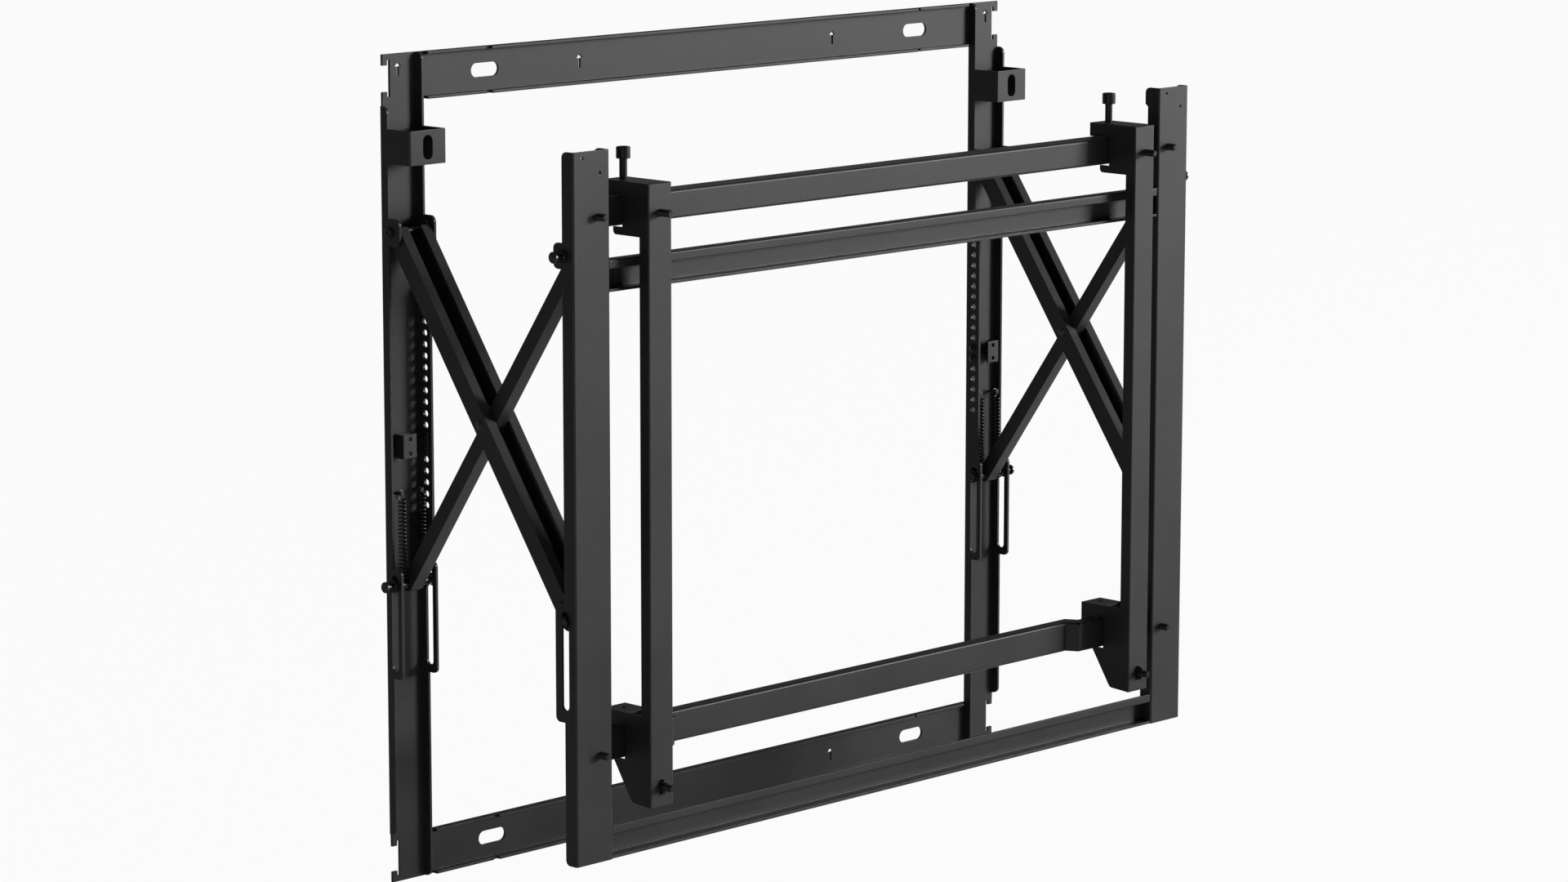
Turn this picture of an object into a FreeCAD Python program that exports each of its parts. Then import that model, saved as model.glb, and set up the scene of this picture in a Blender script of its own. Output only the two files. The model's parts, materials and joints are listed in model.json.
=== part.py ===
import FreeCAD, Part
import math
import os
import re

import Sketcher

# Pop-out wall mount for one video wall display, in millimetres.
# X runs along the wall, Y into the wall and Z up. The origin lies on the wall plane, at the
# centre of the four fixing slots. The front frame is drawn fully out, as it rests.

# Driving sizes
SIZES = {
    # whole mount
    "mount_width": 644,
    "upright_width": 34.5,
    "sheet": 2,
    "bend": 1.8,
    "bracket_bend": 1.1,
    "overcut": 1,
    # wall frame
    "wall_height": 593,
    "flange_drop": 36,
    "wall_flange": 8,
    "inner_flange": 14.2,
    "inner_flange_gap": 30,
    "guide_shoulder": 1.3,
    "inner_flange_slope": 5,
    "flange_corner": 5,
    "hook_setback": 1.7,
    "hook_gap": 25.7,
    "hook_end": 4.3,
    "hook_depth": 6.8,
    "finger_length": 3.6,
    "finger_width": 4.5,
    "rail_height": 33.4,
    "rail_flange": 6.5,
    "rail_middle_flange": 8,
    "rail_end_relief": 5.5,
    "rail_notch": 4,
    "rail_notch_depth": 1.5,
    "slot_span": 448.6,
    "slot_in": 16.9,
    "wall_slot_length": 26,
    "wall_slot_width": 10,
    "arrow_height": 9.9,
    "arrow_head": 6,
    "arrow_shaft": 1.7,
    "arrow_head_height": 3,
    "rail_arrow_x": 132,
    "upright_arrow_in": 18.5,
    "upright_arrow_rise": 5.7,
    "row_holes": 17,
    "row_pitch": 8.24,
    "row_drop": 65.9,
    "row_depth": 8.3,
    "row_hole": 4.8,
    # scissors
    "axis_depth": 10,
    "reach": 175.6,
    "arm_length": 306.5,
    "pivot_height": 172.6,
    "ear_depth": 19.6,
    "ear_height": 19.8,
    "guide_depth": 17.2,
    "guide_over": 8.6,
    "guide_under": 5.5,
    "slot_travel": 58.6,
    "slot_over": 4,
    "slot_width": 6.8,
    "axle": 6.5,
    "running_gap": 0.05,
    "arm_gap": 0.75,
    "outer_arm_depth": 14,
    "groove": 12.4,
    "window_up": 16,
    "window_down": 96,
    "inner_arm_width": 11.2,
    "inner_arm_depth": 11,
    "cross_pin": 5,
    "cross_head": 6.4,
    "cross_head_height": 0.6,
    "pivot_bolt": 5,
    "bolt_flats": 7,
    "bolt_head": 1.6,
    "pivot_nut": 2.6,
    "axle_out": 9.7,
    "axle_in": 3.2,
    "axle_neck": 4.6,
    "axle_head": 8,
    "axle_head_height": 2,
    "washer": 9.4,
    "washer_height": 1.6,
    "side_gap": 0.3,
    "slide_nut_flats": 8,
    "slide_nut": 1.8,
    # catch bracket
    "catch_depth": 31.2,
    "catch_drop": 75.8,
    "catch_height": 24.3,
    "catch_slot": 17.3,
    "catch_slot_width": 8.7,
    # stop tab
    "tab_under": 4.86,
    "tab_height": 17,
    "tab_depth": 11.8,
    "tab_width": 24.1,
    "tab_leaf": 12.3,
    "tab_sheet": 1.6,
    "tab_hole": 3.2,
    "tab_hole_gap": 10.3,
    "tab_screw": 4.4,
    "tab_screw_head": 7,
    "tab_screw_head_height": 1.5,
    "tab_screw_out": 1,
    "tab_over_tongue": 27,
    # springs
    "spring_offset": 9.4,
    "spring_wire": 1.2,
    "spring_outside": 6,
    "spring_turns": 20,
    "hook_reach": 66,
    "upper_eye": 6,
    "tongue_width": 3,
    "tongue_over": 2.4,
    "tongue_lip": 1.2,
    "tongue_gap": 0.1,
    # front frame
    "depth_open": 195.8,
    "front_over_pivot": 70.7,
    "front_height": 493,
    "front_flange": 11,
    "front_corner": 4,
    "lug_depth": 19.6,
    "lug_height": 17.8,
    "lobe_depth": 20,
    "lobe_over": 9.2,
    "lobe_under": 8.7,
    "top_lobe_depth": 13.5,
    "top_lobe_height": 12.6,
    "top_lobe_slope": 2,
    "small_hole": 2,
    "small_hole_x": 9.2,
    "small_hole_drop": 4.4,
    "second_hole_x": 25.4,
    "second_hole_drop": 15.2,
    "frame_stud_in": 11.1,
    "frame_stud_over": 25.6,
    "frame_stud_rise": 372.3,
    "frame_stud_out": 7.4,
    "stud": 5.4,
    "rail_front_setback": 0.7,
    "rail_bend": 1.2,
    "front_rail_depth": 10.9,
    "upper_rail_height": 22,
    "upper_rail_lip": 6.1,
    "upper_rail_under": 26.8,
    "lower_rail_height": 23.2,
    "lower_rail_lip": 6.4,
    "lower_rail_rise": 0.2,
    # hanging bars
    "bar_over_pivot": 15.8,
    "bar_height": 19.8,
    "bar_setback": 12,
    "bar_depth": 17,
    "bar_lug_over": 2.5,
    "low_bar_rise": 66.2,
    "low_bar_height": 22.4,
    "low_bar_setback": 21,
    "low_bar_end_setback": 12,
    "low_bar_depth": 10,
    "joggle_in": 76.3,
    "joggle_run": 5,
    "joggle_rear": 9.5,
    "relief": 1.6,
    "relief_depth": 4,
    # display brackets
    "display_in": 33.2,
    "bracket_width": 22,
    "bracket_front": 14.5,
    "bracket_channel": 9,
    "bracket_over_pivot": 46.1,
    "bracket_height": 434,
    "top_box_depth": 45,
    "top_jaw_over": 0.3,
    "jaw_under": 1.3,
    "jaw_front_gap": 0.7,
    "top_lobe_drop": 5.4,
    "top_lobe_reach": 8.3,
    "top_lobe_corner": 2.9,
    "low_box_depth": 11.6,
    "low_box_plate": 21.6,
    "low_jaw_over": 0.3,
    "low_jaw_rise": 9.5,
    "low_jaw_reach": 1,
    "low_finger": 12,
    "low_finger_gap": 0.7,
    "foot_reach": 4.2,
    "foot_rise": 1.2,
    "lock_hole": 4.5,
    "lock_hole_in": 9.5,
    "display_stud_over": 25.9,
    "display_pattern": 400,
    "display_stud_out": 10.3,
    "screw_in": 9.5,
    "screw": 5.5,
    "screw_head": 10,
    "screw_head_height": 8.1,
    "screw_shank": 24.5,
    "wing_hub": 6.4,
    "wing_hub_height": 2.8,
    "wing_span": 10.8,
    "wing_width": 2.8,
    "wing_seat": 0.1,
}

# Places worked out from the driving sizes
PLACES = {
    "outer_x": "mount_width / 2",
    "inner_x": "mount_width / 2 - upright_width",
    "middle_x": "mount_width / 2 - upright_width / 2",
    "wall_top": "wall_height / 2",
    "flange_top": "wall_height / 2 - flange_drop",
    "slot_rise": "wall_height - 2 * slot_in",
    "hook_x": "mount_width / 2 - hook_setback",
    "upright_arrow_x": "inner_x + upright_arrow_in",
    "frame_stud_x": "inner_x + frame_stud_in",
    "display_x": "inner_x - display_in",
    "joggle_x": "inner_x - joggle_in",
    "tab_outer": "inner_x + sheet + tab_width",
    "row_top": "pivot_height - row_drop",
    "tab_step": "floor((row_top - tongue_top - tab_over_tongue) / row_pitch)",
    "tab_low": "row_top - row_pitch * tab_step - tab_under",
    "catch_low": "wall_height / 2 - catch_drop",
    "guide_top": "slide_height + slot_width / 2 + guide_over",
    "ear_low": "pivot_height - ear_height / 2",
    "notch_top": "wall_height / 2 - hook_end",
    "slide_height": "pivot_height - sqrt(arm_length * arm_length - reach * reach)",
    "rest_angle": "asin(reach / arm_length)",
    "wall_axis_y": "-axis_depth",
    "front_axis_y": "-axis_depth - reach",
    "cross_y": "-axis_depth - reach / 2",
    "cross_z": "pivot_height - sqrt(arm_length * arm_length - reach * reach) / 2",
    "arm_half": "upright_width / 2 - sheet - arm_gap",
    "front_y": "-depth_open",
    "front_top": "pivot_height + front_over_pivot",
    "front_low": "front_top - front_height",
    "frame_stud_top": "pivot_height + frame_stud_over",
    "upper_rail_low": "pivot_height - upper_rail_under",
    "lower_rail_low": "front_low + lower_rail_rise",
    "bar_low": "pivot_height + bar_over_pivot",
    "bar_top": "bar_low + bar_height",
    "low_bar_low": "front_low + low_bar_rise",
    "low_bar_top": "low_bar_low + low_bar_height",
    "bracket_y": "-depth_open - bracket_front",
    "bracket_top": "pivot_height + bracket_over_pivot",
    "bracket_low": "bracket_top - bracket_height",
    "display_stud_top": "pivot_height + display_stud_over",
    "bracket_rear": "-depth_open - bracket_front + bracket_channel",
    "low_box_top": "low_bar_low + low_bar_height + low_jaw_over + low_jaw_rise",
    "screw_y": "-depth_open + bar_setback + screw_in",
    "eye_y": "-axis_depth + spring_outside / 2 - spring_wire / 2",
    "tongue_top": "slide_height + hook_reach",
}

doc = FreeCAD.newDocument("video_wall_mount")


def formula(text):
    # size names become references to the sheet that holds them
    def prefix(found):
        word = found.group()
        if word in SIZES:
            return "dims." + word
        if word in PLACES:
            return "places." + word
        return word
    return re.sub(r"[a-z][a-z_]*[a-z]", prefix, str(text))


def fill_sheets():
    dims = doc.addObject("Spreadsheet::Sheet", "dims")
    for row, (name, value) in enumerate(SIZES.items(), 1):
        dims.set(f"A{row}", name)
        dims.set(f"B{row}", str(value))
        dims.setAlias(f"B{row}", name)
    doc.recompute()
    places = doc.addObject("Spreadsheet::Sheet", "places")
    for row, name in enumerate(PLACES, 1):
        places.set(f"A{row}", name)
        places.setAlias(f"B{row}", name)
    for row, text in enumerate(PLACES.values(), 1):
        places.set(f"B{row}", "=" + formula(text).replace("places.", ""))
    doc.recompute()
    return dims


dims = fill_sheets()


def value(text):
    # the number that an expression on the sizes gives
    found = dims.evalExpression(formula(text))
    return float(getattr(found, "Value", found))


def bind(thing, **links):
    for name, text in links.items():
        thing.setExpression(name.replace("__", "."), formula(text))


def move(thing, x=None, y=None, z=None):
    for axis, text in (("x", x), ("y", y), ("z", z)):
        if text is not None:
            thing.setExpression("Placement.Base." + axis, formula(text))


def box(name, x, y, z):
    # a block between two expressions along each axis
    thing = doc.addObject("Part::Box", name)
    bind(thing, Length=f"({x[1]}) - ({x[0]})", Width=f"({y[1]}) - ({y[0]})", Height=f"({z[1]}) - ({z[0]})")
    move(thing, x[0], y[0], z[0])
    return thing


TURNS = {
    "x": FreeCAD.Rotation(FreeCAD.Vector(0, 1, 0), 90),
    "y": FreeCAD.Rotation(FreeCAD.Vector(1, 0, 0), -90),
    "z": FreeCAD.Rotation(),
}


def rod(name, axis, across, span, at):
    # a cylinder of one diameter along an axis; at holds its two other coordinates in X, Y, Z order
    thing = doc.addObject("Part::Cylinder", name)
    thing.Placement = FreeCAD.Placement(FreeCAD.Vector(), TURNS[axis])
    bind(thing, Radius=f"({across}) / 2", Height=f"({span[1]}) - ({span[0]})")
    places = dict(zip([word for word in "xyz" if word != axis], at))
    places[axis] = span[0]
    move(thing, **places)
    return thing


def hexagon(name, flats, span, at):
    # a six-sided prism along X, given across its flats
    thing = doc.addObject("Part::Prism", name)
    thing.Polygon = 6
    thing.Placement = FreeCAD.Placement(FreeCAD.Vector(), TURNS["x"])
    bind(thing, Circumradius=f"({flats}) / sqrt(3)", Height=f"({span[1]}) - ({span[0]})")
    move(thing, span[0], *at)
    return thing


def past(low, high):
    # a span that runs out of both faces of what it cuts
    return (f"({low}) - overcut", f"({high}) + overcut")


def joined(name, pieces):
    thing = doc.addObject("Part::MultiFuse", name)
    thing.Shapes = pieces
    thing.Refine = True
    return thing


def group(name, pieces):
    thing = doc.addObject("Part::Compound", name)
    thing.Links = pieces
    return thing


def cut(name, base, tools):
    thing = doc.addObject("Part::Cut", name)
    thing.Base = base
    thing.Tool = tools[0] if len(tools) == 1 else group(name + "_tools", tools)
    thing.Refine = True
    return thing


def mirrored(name, source):
    thing = doc.addObject("Part::Mirroring", name)
    thing.Source = source
    thing.Normal = (1, 0, 0)
    thing.Base = (0, 0, 0)
    return thing


def rounded(name, base, radius, wanted):
    # rounds the straight edges that wanted(middle, direction) picks
    doc.recompute()
    edges = []
    for index, edge in enumerate(base.Shape.Edges, 1):
        if edge.Curve.TypeId != "Part::GeomLine":
            continue
        middle = (edge.Vertexes[0].Point + edge.Vertexes[-1].Point) * 0.5
        direction = (edge.Vertexes[-1].Point - edge.Vertexes[0].Point).normalize()
        if wanted(middle, direction):
            edges.append((index, radius, radius))
    if not edges:
        raise RuntimeError("no edge to round on " + name)
    thing = doc.addObject("Part::Fillet", name)
    thing.Base = base
    thing.Edges = edges
    return thing


def near(a, b):
    return abs(a - b) < 0.001


def bend_edges(face, sides):
    # picks the upright edges where a sheet turns from its face into its sides
    def wanted(middle, direction):
        upright = near(abs(direction.z), 1) and near(middle.y, face)
        return upright and any(near(middle.x, x) for x in sides)
    return wanted


PLANES = {
    "xy": FreeCAD.Rotation(),
    "xz": FreeCAD.Rotation(FreeCAD.Vector(1, 0, 0), 90),
    "yz": FreeCAD.Rotation(FreeCAD.Vector(1, 1, 1), 120),
}


def plate(name, plane, span, corners, radius=None):
    # a flat sheet: an outline of corners in a plane, thick from span[0] to span[1] along the
    # third axis; a corner with a third entry is rounded to that size
    sketch = doc.addObject("Sketcher::SketchObject", name + "_outline")
    sketch.Placement = FreeCAD.Placement(FreeCAD.Vector(), PLANES[plane])
    third = {"xy": "z", "xz": "y", "yz": "x"}[plane]
    move(sketch, **{third: span[1] if plane == "xz" else span[0]})
    points = [FreeCAD.Vector(value(corner[0]), value(corner[1]), 0) for corner in corners]
    count = len(points)
    for index, point in enumerate(points):
        sketch.addGeometry(Part.LineSegment(point, points[(index + 1) % count]), False)
    for index in range(count):
        sketch.addConstraint(Sketcher.Constraint("Coincident", index, 2, (index + 1) % count, 1))
    for index, (corner, point) in enumerate(zip(corners, points)):
        for kind, text, distance in (("DistanceX", corner[0], point.x), ("DistanceY", corner[1], point.y)):
            row = sketch.addConstraint(Sketcher.Constraint(kind, index, 1, distance))
            sketch.setExpression(f"Constraints[{row}]", formula(text))
    solid = doc.addObject("Part::Extrusion", name + "_sheet")
    solid.Base = sketch
    solid.DirMode = "Normal"
    solid.Solid = True
    bind(solid, LengthFwd=f"({span[1]}) - ({span[0]})")
    rounds = [(point, value(corner[2])) for point, corner in zip(points, corners) if len(corner) > 2]
    if not rounds:
        return solid
    doc.recompute()
    first, second = plane
    edges = []
    for index, edge in enumerate(solid.Shape.Edges, 1):
        ends = [vertex.Point for vertex in edge.Vertexes]
        for point, size in rounds:
            gaps = [abs(getattr(end, first) - point.x) + abs(getattr(end, second) - point.y) for end in ends]
            if near(max(gaps), 0):
                edges.append((index, size, size))
    thing = doc.addObject("Part::Fillet", name)
    thing.Base = solid
    thing.Edges = edges
    return thing


def slot(name, axis, width, length, run, span, at):
    # a cutter with round ends: length end to end along the axis run, thick along the axis given
    other = [word for word in "xyz" if word != axis]
    centre = dict(zip(other, at))
    half = f"(({length}) - ({width})) / 2"
    ends = []
    for side, sign in (("low", "-"), ("high", "+")):
        place = dict(centre)
        place[run] = f"({centre[run]}) {sign} {half}"
        ends.append(rod(f"{name}_{side}", axis, width, span, [place[word] for word in other]))
    across = [word for word in other if word != run][0]
    sides = {
        axis: span,
        run: (f"({centre[run]}) - {half}", f"({centre[run]}) + {half}"),
        across: (f"({centre[across]}) - ({width}) / 2", f"({centre[across]}) + ({width}) / 2"),
    }
    middle = box(name + "_middle", sides["x"], sides["y"], sides["z"])
    return joined(name, ends + [middle])


def arrow(name, x, z):
    # the plain up-arrow cut through the wall sheet
    half = "arrow_height / 2"
    neck = f"({z}) + {half} - arrow_head_height"
    shaft = "arrow_shaft / 2"
    return plate(name, "xz", past("-sheet", "0"), [
        (f"({x}) - {shaft}", f"({z}) - {half}"),
        (f"({x}) + {shaft}", f"({z}) - {half}"),
        (f"({x}) + {shaft}", neck),
        (f"({x}) + arrow_head / 2", neck),
        (f"({x})", f"({z}) + {half}"),
        (f"({x}) - arrow_head / 2", neck),
        (f"({x}) - {shaft}", neck),
    ])


# Wall uprights
def wall_upright():
    strip = box("upright_web", ("inner_x", "hook_x"), ("-sheet", "0"), ("-wall_top", "wall_top"))
    cuts = []
    fingers = []
    for end, sign in (("top", ""), ("low", "-")):
        low, high = (f"{sign}(notch_top - hook_gap)", f"{sign}notch_top")
        low, high = (low, high) if end == "top" else (high, low)
        depth = ("hook_x - hook_depth", "hook_x + overcut")
        cuts.append(box(f"hook_notch_{end}", depth, past("-sheet", "0"), (low, high)))
        across = ("hook_x - finger_width", "hook_x")
        for place, span in (
            ("hanging", (f"{high} - finger_length", high)),
            ("standing", (low, f"{low} + finger_length")),
        ):
            fingers.append(box(f"finger_{place}_{end}", across, ("-sheet", "0"), span))
    cuts.append(arrow("upright_arrow", "upright_arrow_x", "slot_rise / 2 + upright_arrow_rise"))
    web = cut("upright_web_cut", strip, cuts)

    outer = plate("outer_flange", "yz", ("outer_x - sheet", "outer_x"), [
        ("0", "-flange_top"),
        ("0", "flange_top"),
        ("-wall_flange", "flange_top", "flange_corner"),
        ("-wall_flange", "pivot_height + ear_height / 2"),
        ("-ear_depth", "pivot_height + ear_height / 2", "flange_corner"),
        ("-ear_depth", "ear_low", "flange_corner"),
        ("-wall_flange", "ear_low"),
        ("-wall_flange", "guide_top"),
        ("-guide_depth", "guide_top", "front_corner"),
        ("-guide_depth", "slide_height - slot_travel - slot_width / 2 - guide_under", "front_corner"),
        ("-wall_flange", "slide_height - slot_travel - slot_width / 2 - guide_under"),
        ("-wall_flange", "-flange_top", "flange_corner"),
    ])
    inner = plate("inner_flange_plate", "yz", ("inner_x", "inner_x + sheet"), [
        ("0", "-wall_top"),
        ("0", "wall_top"),
        ("-wall_flange", "wall_top", "flange_corner"),
        ("-wall_flange", "pivot_height + ear_height / 2"),
        ("-ear_depth", "pivot_height + ear_height / 2", "flange_corner"),
        ("-ear_depth", "ear_low", "flange_corner"),
        ("-wall_flange", "ear_low"),
        ("-wall_flange", "ear_low - inner_flange_gap"),
        ("-inner_flange", "ear_low - inner_flange_gap - inner_flange_slope"),
        ("-inner_flange", "guide_top + guide_shoulder"),
        ("-guide_depth", "guide_top", "front_corner"),
        ("-guide_depth", "slide_height - slot_travel - slot_width / 2 - guide_under", "front_corner"),
        ("-wall_flange", "slide_height - slot_travel - slot_width / 2 - guide_under"),
        ("-wall_flange", "-wall_top", "flange_corner"),
    ])
    body = joined("upright_bent", [web, outer, inner] + fingers)
    sides = (value("outer_x"), value("inner_x"))
    body = rounded("upright_bends", body, value("bend"), bend_edges(0, sides))
    through = past("inner_x", "outer_x")
    holes = [
        rod("pivot_holes", "x", "pivot_bolt + 2 * running_gap", through, ("wall_axis_y", "pivot_height")),
        slot("guide_slots", "x", "slot_width", "slot_travel + slot_over + slot_width", "z", through,
             ("wall_axis_y", "slide_height + (slot_over - slot_travel) / 2")),
    ]
    for step in range(int(value("row_holes"))):
        holes.append(rod(f"row_hole_{step + 1}", "x", "row_hole", past("inner_x", "inner_x + sheet"),
                         ("-row_depth", f"row_top - row_pitch * {step}")))
    right = cut("upright_cut", body, holes)
    tongues = []
    for side, sign in (("outer", "+"), ("inner", "-")):
        x = f"middle_x {sign} spring_offset"
        across = (f"{x} - tongue_width / 2", f"{x} + tongue_width / 2")
        end = "eye_y - spring_wire / 2 - tongue_over"
        tongues.append(box(f"tongue_{side}", across, (end, "-sheet / 2"),
                           ("tongue_top - sheet", "tongue_top")))
        tongues.append(box(f"tongue_lip_{side}", across, (end, f"{end} + tongue_lip"),
                           ("tongue_top - sheet", "tongue_top + tongue_lip")))
    right = joined("wall_upright_right", [right] + tongues)
    return {"wall_upright_right": right, "wall_upright_left": mirrored("wall_upright_left", right)}


# Wall rails
def wall_rail(name, sign):
    low, high = ("wall_top - rail_height", "wall_top")
    if sign == "-":
        low, high = ("-wall_top", "rail_height - wall_top")
    web = box(name + "_web", ("-inner_x", "inner_x"), ("-sheet", "0"), (low, high))
    half = "slot_span / 2"
    depth = "rail_middle_flange"
    end = "inner_x - rail_end_relief"
    side = [
        (end, "0"),
        (end, "-rail_flange"),
        (f"{half} + rail_notch / 2", "-rail_flange"),
        (f"{half} + rail_notch / 2", "rail_notch_depth - rail_flange"),
        (f"{half} - rail_notch / 2", "rail_notch_depth - rail_flange"),
        (f"{half} - rail_notch / 2", f"-{depth}"),
    ]
    other = [(f"-({x})", y) for x, y in reversed(side)]
    flanges = [
        plate(f"{name}_flange_low", "xy", (low, f"{low} + sheet"), side + other),
        plate(f"{name}_flange_high", "xy", (f"{high} - sheet", high), side + other),
    ]
    body = joined(name + "_bent", [web] + flanges)
    z = f"{sign}slot_rise / 2"
    cuts = []
    for side_name, x in (("right", half), ("left", f"-{half}")):
        cuts.append(slot(f"{name}_slot_{side_name}", "y", "wall_slot_width", "wall_slot_length", "x",
                         past("-sheet", "0"), (x, z)))
    for side_name, x in (("right", "rail_arrow_x"), ("left", "-rail_arrow_x")):
        cuts.append(arrow(f"{name}_arrow_{side_name}", x, z))
    return cut(name, body, cuts)


# Catch brackets that the front frame closes against
def catch_bracket():
    z = ("catch_low", "catch_low + catch_height")
    front = box("catch_front", ("inner_x", "outer_x"), ("-catch_depth", "sheet - catch_depth"), z)
    sides = [
        box("catch_side_inner", ("inner_x", "inner_x + sheet"), ("-catch_depth", "-wall_flange"), z),
        box("catch_side_outer", ("outer_x - sheet", "outer_x"), ("-catch_depth", "-wall_flange"), z),
    ]
    body = joined("catch_bent", [front] + sides)
    sides = (value("outer_x"), value("inner_x"))
    body = rounded("catch_bends", body, value("bend"), bend_edges(value("-catch_depth"), sides))
    hole = slot("catch_slot_cut", "y", "catch_slot_width", "catch_slot", "z",
                past("-catch_depth", "sheet - catch_depth"), ("middle_x", "catch_low + catch_height / 2"))
    right = cut("catch_bracket_right", body, [hole])
    return {"catch_bracket_right": right, "catch_bracket_left": mirrored("catch_bracket_left", right)}


# Small folded tabs screwed to the hole row
def stop_tab():
    z = ("tab_low", "tab_low + tab_height")
    face = "inner_x + sheet"
    pieces = [
        box("tab_ear", (face, f"{face} + tab_sheet"), ("-tab_depth", "-sheet"), z),
        box("tab_back", (face, "tab_outer"), ("-sheet - tab_sheet", "-sheet"), z),
        box("tab_side", ("tab_outer - tab_sheet", "tab_outer"), ("-tab_depth", "-sheet"), z),
        box("tab_leaf_plate", ("tab_outer - tab_leaf", "tab_outer"),
            ("-tab_depth", "tab_sheet - tab_depth"), z),
    ]
    body = joined("tab_bent", pieces)
    holes = []
    for step, place in (("high", "tab_hole_gap / 2"), ("low", "-tab_hole_gap / 2")):
        holes.append(rod(f"tab_hole_{step}", "y", "tab_hole", past("-tab_depth", "tab_sheet - tab_depth"),
                         ("tab_outer - tab_leaf / 2", f"tab_low + tab_height / 2 + {place}")))
    screws = []
    for step, count in (("high", "tab_step - 1"), ("low", "tab_step")):
        z = f"row_top - row_pitch * ({count})"
        holes.append(rod(f"tab_screw_hole_{step}", "x", "tab_screw", past(face, f"{face} + tab_sheet"),
                         ("-row_depth", z)))
        shank = rod(f"tab_screw_shank_{step}", "x", "tab_screw - 2 * running_gap",
                    ("inner_x", f"{face} + tab_sheet + tab_screw_out"), ("-row_depth", z))
        head = rod(f"tab_screw_head_{step}", "x", "tab_screw_head",
                   ("inner_x - tab_screw_head_height", "inner_x"), ("-row_depth", z))
        screws.append(joined(f"tab_screw_{step}", [shank, head]))
    right = cut("stop_tab_right", body, holes)
    fixings = group("tab_screws_right", screws)
    return {
        "stop_tab_right": right,
        "stop_tab_left": mirrored("stop_tab_left", right),
        "tab_screws_right": fixings,
        "tab_screws_left": mirrored("tab_screws_left", fixings),
    }


def arm_noses(name, depth, across):
    # cutters that round both ends of an arm that is drawn hanging down from the origin
    noses = []
    for end, place, span in (
        ("top", "0", ("0", depth)),
        ("low", "-arm_length", (f"-arm_length - {depth}", "-arm_length")),
    ):
        block = box(f"{name}_end_{end}", across, past(f"-{depth} / 2", f"{depth} / 2"), span)
        disc = rod(f"{name}_disc_{end}", "x", depth, past(*across), ("0", place))
        noses.append(cut(f"{name}_nose_{end}", block, [disc]))
    return noses


# Outer scissor arms, from the wall pivots down to the front slides
def outer_arm():
    # drawn hanging straight down from its upper pivot, then turned to its rest angle
    half = "outer_arm_depth / 2"
    z = ("-arm_length - outer_arm_depth / 2", "outer_arm_depth / 2")
    full = box("outer_arm_block", ("-arm_half", "arm_half"), (f"-{half}", half), z)
    through = past("-arm_half", "arm_half")
    noses = arm_noses("outer_arm", "outer_arm_depth", through)
    inside = box("outer_arm_inside", ("sheet - arm_half", "arm_half - sheet"),
                 (f"sheet - {half}", f"{half} - sheet"), past(*z))
    across = ("-groove / 2", "groove / 2")
    web = past(f"-{half}", f"sheet - {half}")
    groove = box("outer_arm_groove", across, web, past(*z))
    mouth = box("outer_arm_mouth", ("sheet - arm_half", "arm_half - sheet"), web, ("0", f"{half} + overcut"))
    window = box("outer_arm_window", across, past(f"{half} - sheet", half),
                 ("-arm_length / 2 - window_down", "-arm_length / 2 + window_up"))
    holes = [
        rod("outer_arm_pivot_hole", "x", "pivot_bolt + 2 * running_gap", through, ("0", "0")),
        rod("outer_arm_cross_hole", "x", "cross_pin", through, ("0", "-arm_length / 2")),
        rod("outer_arm_slide_hole", "x", "axle", through, ("0", "-arm_length")),
    ]
    right = cut("outer_arm_right", full, noses + [inside, groove, mouth, window] + holes)
    bind(right, Placement__Rotation__Angle="-rest_angle")
    right.Placement.Rotation.Axis = FreeCAD.Vector(1, 0, 0)
    move(right, "middle_x", "wall_axis_y", "pivot_height")
    return {"outer_arm_right": right, "outer_arm_left": mirrored("outer_arm_left", right)}


# Inner scissor arms, from the front pivots down to the wall slides
def inner_arm():
    half = "inner_arm_depth / 2"
    side = "inner_arm_width / 2"
    z = ("-arm_length - inner_arm_depth / 2", "inner_arm_depth / 2")
    full = box("inner_arm_block", (f"-{side}", side), (f"-{half}", half), z)
    through = past(f"-{side}", side)
    noses = arm_noses("inner_arm", "inner_arm_depth", through)
    inside = box("inner_arm_inside", (f"sheet - {side}", f"{side} - sheet"),
                 (f"sheet - {half}", f"{half} + overcut"), past(*z))
    holes = [
        rod("inner_arm_pivot_hole", "x", "axle + 2 * running_gap", through, ("0", "0")),
        rod("inner_arm_cross_hole", "x", "cross_pin + 2 * running_gap", through, ("0", "-arm_length / 2")),
        rod("inner_arm_slide_hole", "x", "axle", through, ("0", "-arm_length")),
    ]
    right = cut("inner_arm_right", full, noses + [inside] + holes)
    bind(right, Placement__Rotation__Angle="rest_angle")
    right.Placement.Rotation.Axis = FreeCAD.Vector(1, 0, 0)
    move(right, "middle_x", "front_axis_y", "pivot_height")
    return {"inner_arm_right": right, "inner_arm_left": mirrored("inner_arm_left", right)}


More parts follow.
